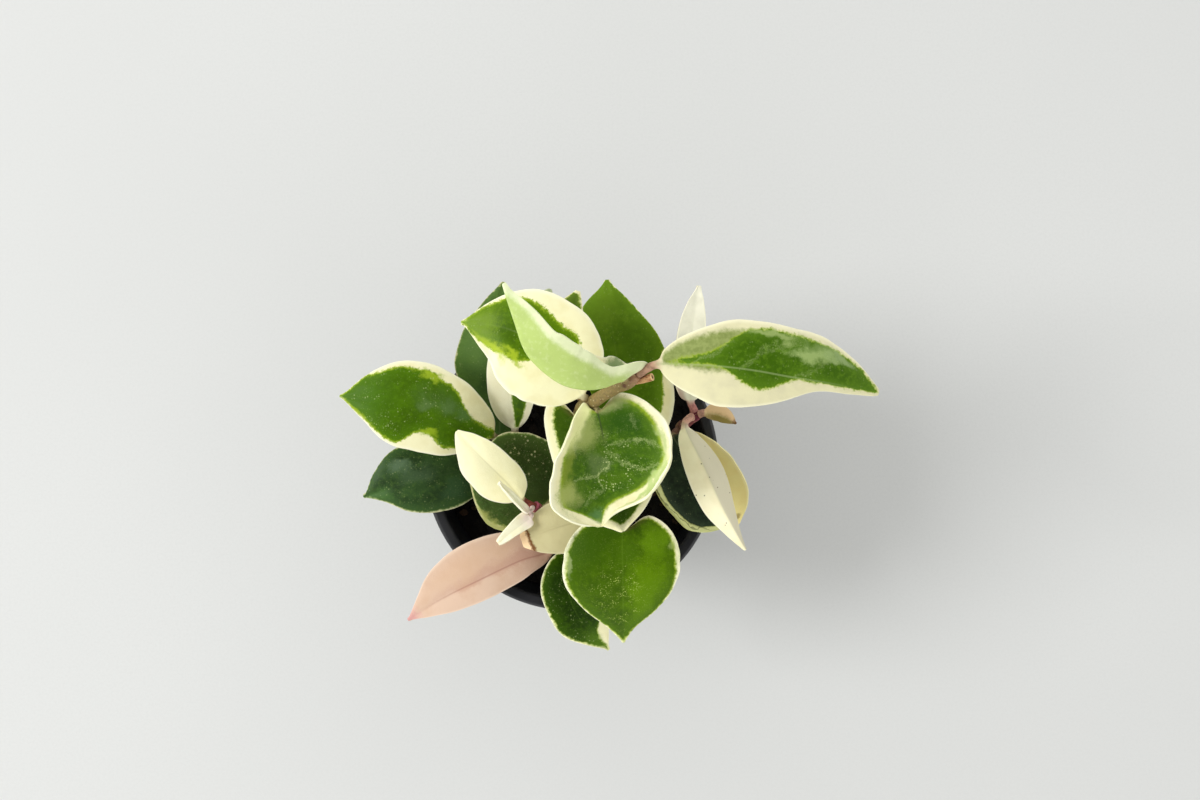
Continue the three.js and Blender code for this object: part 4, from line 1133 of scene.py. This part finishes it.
def pot_mesh(steps):
    top = POT_HEIGHT
    profile = [
        (0, 0), (30, 0), (31.6, FOOT_DEPTH), (FOOT_RADIUS - 1, FOOT_DEPTH), (FOOT_RADIUS, 2.6),
        (wall_radius(COLLAR), COLLAR), (RIM_RADIUS - 0.6, COLLAR + 1),
        (RIM_RADIUS, COLLAR + 2.4), (RIM_RADIUS, top - 0.9), (RIM_RADIUS - 0.9, top),
        (RIM_RADIUS - 3.6, top), (RIM_RADIUS - 4.2, top - 0.8),
        (wall_radius(COLLAR) - WALL, COLLAR), (wall_radius(FLOOR_TOP) - WALL, FLOOR_TOP),
        (0, FLOOR_TOP),
    ]
    return turned(rounded(profile), steps)


def drilled(bm):
    """The pot's body with its drain holes cut through the bottom."""
    drill = bmesh.new()
    for k in range(DRAINS):
        turn = (k + 0.5) / DRAINS * 2 * pi
        pin = bmesh.ops.create_cone(drill, cap_ends=True, segments=28, radius1=DRAIN_RADIUS * MM,
                                    radius2=DRAIN_RADIUS * MM, depth=12 * MM)
        ring = DRAIN_RING * MM
        bmesh.ops.translate(drill, verts=pin["verts"], vec=(
            ring * cos(turn), ring * sin(turn), 2 * MM))
    body, pins = placed(bm, "pot_body"), placed(drill, "drain_pins")
    cut = body.modifiers.new("drain", "BOOLEAN")
    cut.operation = "DIFFERENCE"
    cut.object = pins
    shaped = body.evaluated_get(bpy.context.evaluated_depsgraph_get())
    result = bmesh.new()
    result.from_mesh(shaped.to_mesh())
    for obj in (body, pins):
        mesh = obj.data
        bpy.data.objects.remove(obj)
        bpy.data.meshes.remove(mesh)
    return result


def pot_finish(settings):
    """Thin black moulded plastic with a soft sheen, faint scuffs and a little dust."""
    plastic = Finish("black_plastic", 0.2 * MM)
    orange_peel = plastic.noise(1.5, 2, 0.5)
    scuffs = plastic.noise(0.25, 5, 0.65, 0.2, (1, 1, 4))
    dust = plastic.noise(0.06, 4, 0.6, 0.5)
    colour = plastic.laid(settings.plastic, DUST, dust, 0.45, 0.8, 0.14)
    colour = plastic.laid(colour, SCUFF, scuffs, 0.6, 0.75, 0.3)
    plastic.bump(plastic.plus(orange_peel, plastic.times(scuffs, 0.7)), 0.25)
    return plastic.done(colour, plastic.smooth(scuffs, 0.3, 0.7, 0.36, 0.52), 0.4)


def soil_height(x, y):
    """Height of the soil's surface."""
    waves = sin(x * 0.31 + 1) * cos(y * 0.27) + 0.6 * sin(x * 0.73 - y * 0.61)
    waves += 0.4 * cos(x * 1.3 + y * 1.1)
    crumbs = 0.5 * noise_at(x * 0.45, y * 0.45, 3) + 0.3 * noise_at(x, y, 9)
    return SOIL_TOP - 0.3 + 0.5 * waves + crumbs


def soil_mesh(chips):
    inner, foot, shoulder = (wall_radius(z) - WALL - SOIL_GAP
                             for z in (SOIL_TOP, SOIL_FOOT, SOIL_TOP - 2))
    profile = [(0, SOIL_FOOT), (foot, SOIL_FOOT), (shoulder, SOIL_TOP - 2)]
    profile += [(inner * (1 - k / SOIL_RINGS), SOIL_TOP) for k in range(SOIL_RINGS + 1)]
    bm = turned([Vector(p) for p in profile], 150)
    tint = bm.verts.layers.float.new("tint")
    for vert in bm.verts:
        if vert.co.z > (SOIL_TOP - 0.5) * MM:
            x, y = vert.co.x / MM, vert.co.y / MM
            settle = 1 - (hypot(x, y) / inner) ** 8
            vert.co.z = lerp(SOIL_TOP - 0.4, soil_height(x, y), settle) * MM
        vert[tint] = 0.3
    draws = random.Random(11)
    for _ in range(chips):
        reach = (inner - 2.6) * sqrt(draws.random())
        turn = draws.uniform(0, 2 * pi)
        x, y = reach * cos(turn), reach * sin(turn)
        size = draws.uniform(0.5, 1.5) if draws.random() < 0.8 else draws.uniform(1.5, 2.4)
        shape = (size, size * draws.uniform(0.5, 0.9), size * draws.uniform(0.2, 0.45))
        chip = bmesh.ops.create_icosphere(bm, subdivisions=1, radius=1.0)["verts"]
        for vert in chip:
            vert.co *= draws.uniform(0.8, 1.15)
        bmesh.ops.scale(bm, verts=chip, vec=[s * MM for s in shape])
        lie = Euler((draws.uniform(-0.5, 0.5), draws.uniform(-0.5, 0.5), turn * 7))
        bmesh.ops.rotate(bm, verts=chip, cent=(0, 0, 0), matrix=lie.to_matrix())
        bmesh.ops.translate(bm, verts=chip,
                            vec=(x * MM, y * MM, (soil_height(x, y) + 0.1) * MM))
        shade = draws.random() ** 2
        for vert in chip:
            vert[tint] = shade
    return bm


def soil_finish(settings):
    """Damp dark mix, partly painted shade deep in the pot, with browner and paler bark chips."""
    mix = Finish("potting_mix", 0.5 * MM)
    grain = mix.noise(1.4, 5, 0.7)
    colour = mix.laid(darker(settings.soil, 0.5), settings.soil, grain, 0.35, 0.7)
    colour = mix.laid(colour, BARK_CHIP, mix.attribute("tint"), 0.35, 1.0, 0.85)
    mix.bump(grain, 0.9)
    return mix.done(colour, 0.85, 0.25)


# ------------------------------------------------------------------ stage

FLOOR_SIZE = 2.5
KEY_SIZE, KEY_PLACE = 1.1, (-1.95, 0.2, 1.75)
CAMERA_X, CAMERA_Y = 9.9 * MM, 22 * MM


def build_floor(settings):
    bm = bmesh.new()
    bmesh.ops.create_grid(bm, x_segments=1, y_segments=1, size=FLOOR_SIZE)
    floor = placed(bm, "floor")
    paper = Finish("pale_floor")
    tone = paper.noise(0.004, 2, 0.5)
    speckle = paper.noise(0.9, 3, 0.7, 0.4)
    pale = settings.floor
    colour = paper.laid(pale, darker(pale, 0.95), tone, 0.3, 0.7, 0.6)
    colour = paper.laid(colour, darker(pale, 0.93), speckle, 0.35, 0.75, 0.5)
    floor.data.materials.append(paper.done(colour, 0.85, 0.2))


def build_lights(scene, settings):
    key = bpy.data.lights.new("key", "AREA")
    key.shape = "DISK"
    key.size = KEY_SIZE
    key.energy = settings.key
    lamp = bpy.data.objects.new("key", key)
    lamp.location = KEY_PLACE
    aim = Vector((0, 0, RIM)) - lamp.location
    lamp.rotation_euler = aim.to_track_quat("-Z", "Y").to_euler()
    scene.collection.objects.link(lamp)

    world = bpy.data.worlds.new("studio")
    world.use_nodes = True
    tree = world.node_tree
    background = tree.nodes["Background"]
    background.inputs["Color"].default_value = (1, 1, 0.99, 1)
    direction = tree.nodes.new("ShaderNodeTexCoord")
    parts = tree.nodes.new("ShaderNodeSeparateXYZ")
    fade = tree.nodes.new("ShaderNodeMapRange")
    tree.links.new(direction.outputs["Generated"], parts.inputs[0])
    tree.links.new(parts.outputs["Z"], fade.inputs["Value"])
    tree.links.new(fade.outputs[0], background.inputs["Strength"])
    fade.inputs["To Min"].default_value = settings.sky
    fade.inputs["To Max"].default_value = settings.overhead
    scene.world = world


def build_camera(scene, settings):
    lens = bpy.data.cameras.new("camera")
    lens.sensor_width = 36
    lens.lens = settings.lens
    camera = bpy.data.objects.new("camera", lens)
    camera.location = (CAMERA_X, CAMERA_Y, RIM + settings.camera_height)
    scene.collection.objects.link(camera)
    scene.camera = camera
    scene.view_settings.view_transform = "Standard"


# ------------------------------------------------------------------ operators

class HoyaStage(bpy.types.Operator):
    """Floor, soft light from the upper left and the camera straight above"""
    bl_idname = "hoya.stage"
    bl_label = "Stage and camera"

    def execute(self, context):
        settings = context.scene.hoya_stage
        build_floor(settings)
        build_lights(context.scene, settings)
        build_camera(context.scene, settings)
        return {"FINISHED"}


class HoyaPot(bpy.types.Operator):
    """The round nursery pot with its rolled rim and drain holes"""
    bl_idname = "hoya.pot"
    bl_label = "Pot"

    def execute(self, context):
        settings = context.scene.hoya_pot
        finished(drilled(pot_mesh(settings.steps)), "nursery_pot", pot_finish(settings),
                 ["pot"], 0, CREASE)
        return {"FINISHED"}


class HoyaSoil(bpy.types.Operator):
    """The potting mix with loose bark chips on top"""
    bl_idname = "hoya.soil"
    bl_label = "Soil"

    def execute(self, context):
        settings = context.scene.hoya_pot
        finished(soil_mesh(settings.chips), "potting_mix", soil_finish(settings),
                 ["soil"], 0, CREASE)
        return {"FINISHED"}


class HoyaStems(bpy.types.Operator):
    """Five stems with their knots and scars, and the cut flower stalk"""
    bl_idname = "hoya.stems"
    bl_label = "Stems"

    def execute(self, context):
        build_stems()
        return {"FINISHED"}


class HoyaHighLeaves(bpy.types.Operator):
    """The four large leaves on the upper part of the main stem"""
    bl_idname = "hoya.high_leaves"
    bl_label = "High leaves"

    def execute(self, context):
        build_leaves(HIGH_LEAVES)
        return {"FINISHED"}


class HoyaMiddleLeaves(bpy.types.Operator):
    """The leaves at middle height"""
    bl_idname = "hoya.middle_leaves"
    bl_label = "Middle leaves"

    def execute(self, context):
        build_leaves(MIDDLE_LEAVES)
        return {"FINISHED"}


class HoyaLowLeaves(bpy.types.Operator):
    """The leaves that lie low, near the rim"""
    bl_idname = "hoya.low_leaves"
    bl_label = "Low leaves"

    def execute(self, context):
        build_leaves(LOW_LEAVES)
        return {"FINISHED"}


class HoyaYoungLeaves(bpy.types.Operator):
    """The small young leaves at the stem tips"""
    bl_idname = "hoya.young_leaves"
    bl_label = "Young leaves"

    def execute(self, context):
        build_leaves(YOUNG_LEAVES)
        return {"FINISHED"}


OPERATORS = (HoyaStage, HoyaPot, HoyaSoil, HoyaStems, HoyaHighLeaves, HoyaMiddleLeaves,
             HoyaLowLeaves, HoyaYoungLeaves)


class HoyaPanel(bpy.types.Panel):
    """Lists the settings and the steps that build the plant"""
    bl_idname = "HOYA_PT_plant"
    bl_label = "Potted hoya"
    bl_space_type = "VIEW_3D"
    bl_region_type = "UI"
    bl_category = "Hoya"

    def draw(self, context):
        for name, group in SETTINGS.items():
            box = self.layout.box()
            for field in group.__annotations__:
                box.prop(getattr(context.scene, name), field)
        for operator in OPERATORS:
            self.layout.operator(operator.bl_idname)


def register():
    for group in (*SETTINGS.values(), *OPERATORS, HoyaPanel):
        bpy.utils.register_class(group)
    for name, group in SETTINGS.items():
        setattr(bpy.types.Scene, name, PointerProperty(type=group))


def unregister():
    for name in SETTINGS:
        delattr(bpy.types.Scene, name)
    for group in reversed((*SETTINGS.values(), *OPERATORS, HoyaPanel)):
        bpy.utils.unregister_class(group)


def main():
    register()
    for operator in OPERATORS:
        area, step = operator.bl_idname.split(".")
        getattr(getattr(bpy.ops, area), step)()


if __name__ == "__main__":
    main()
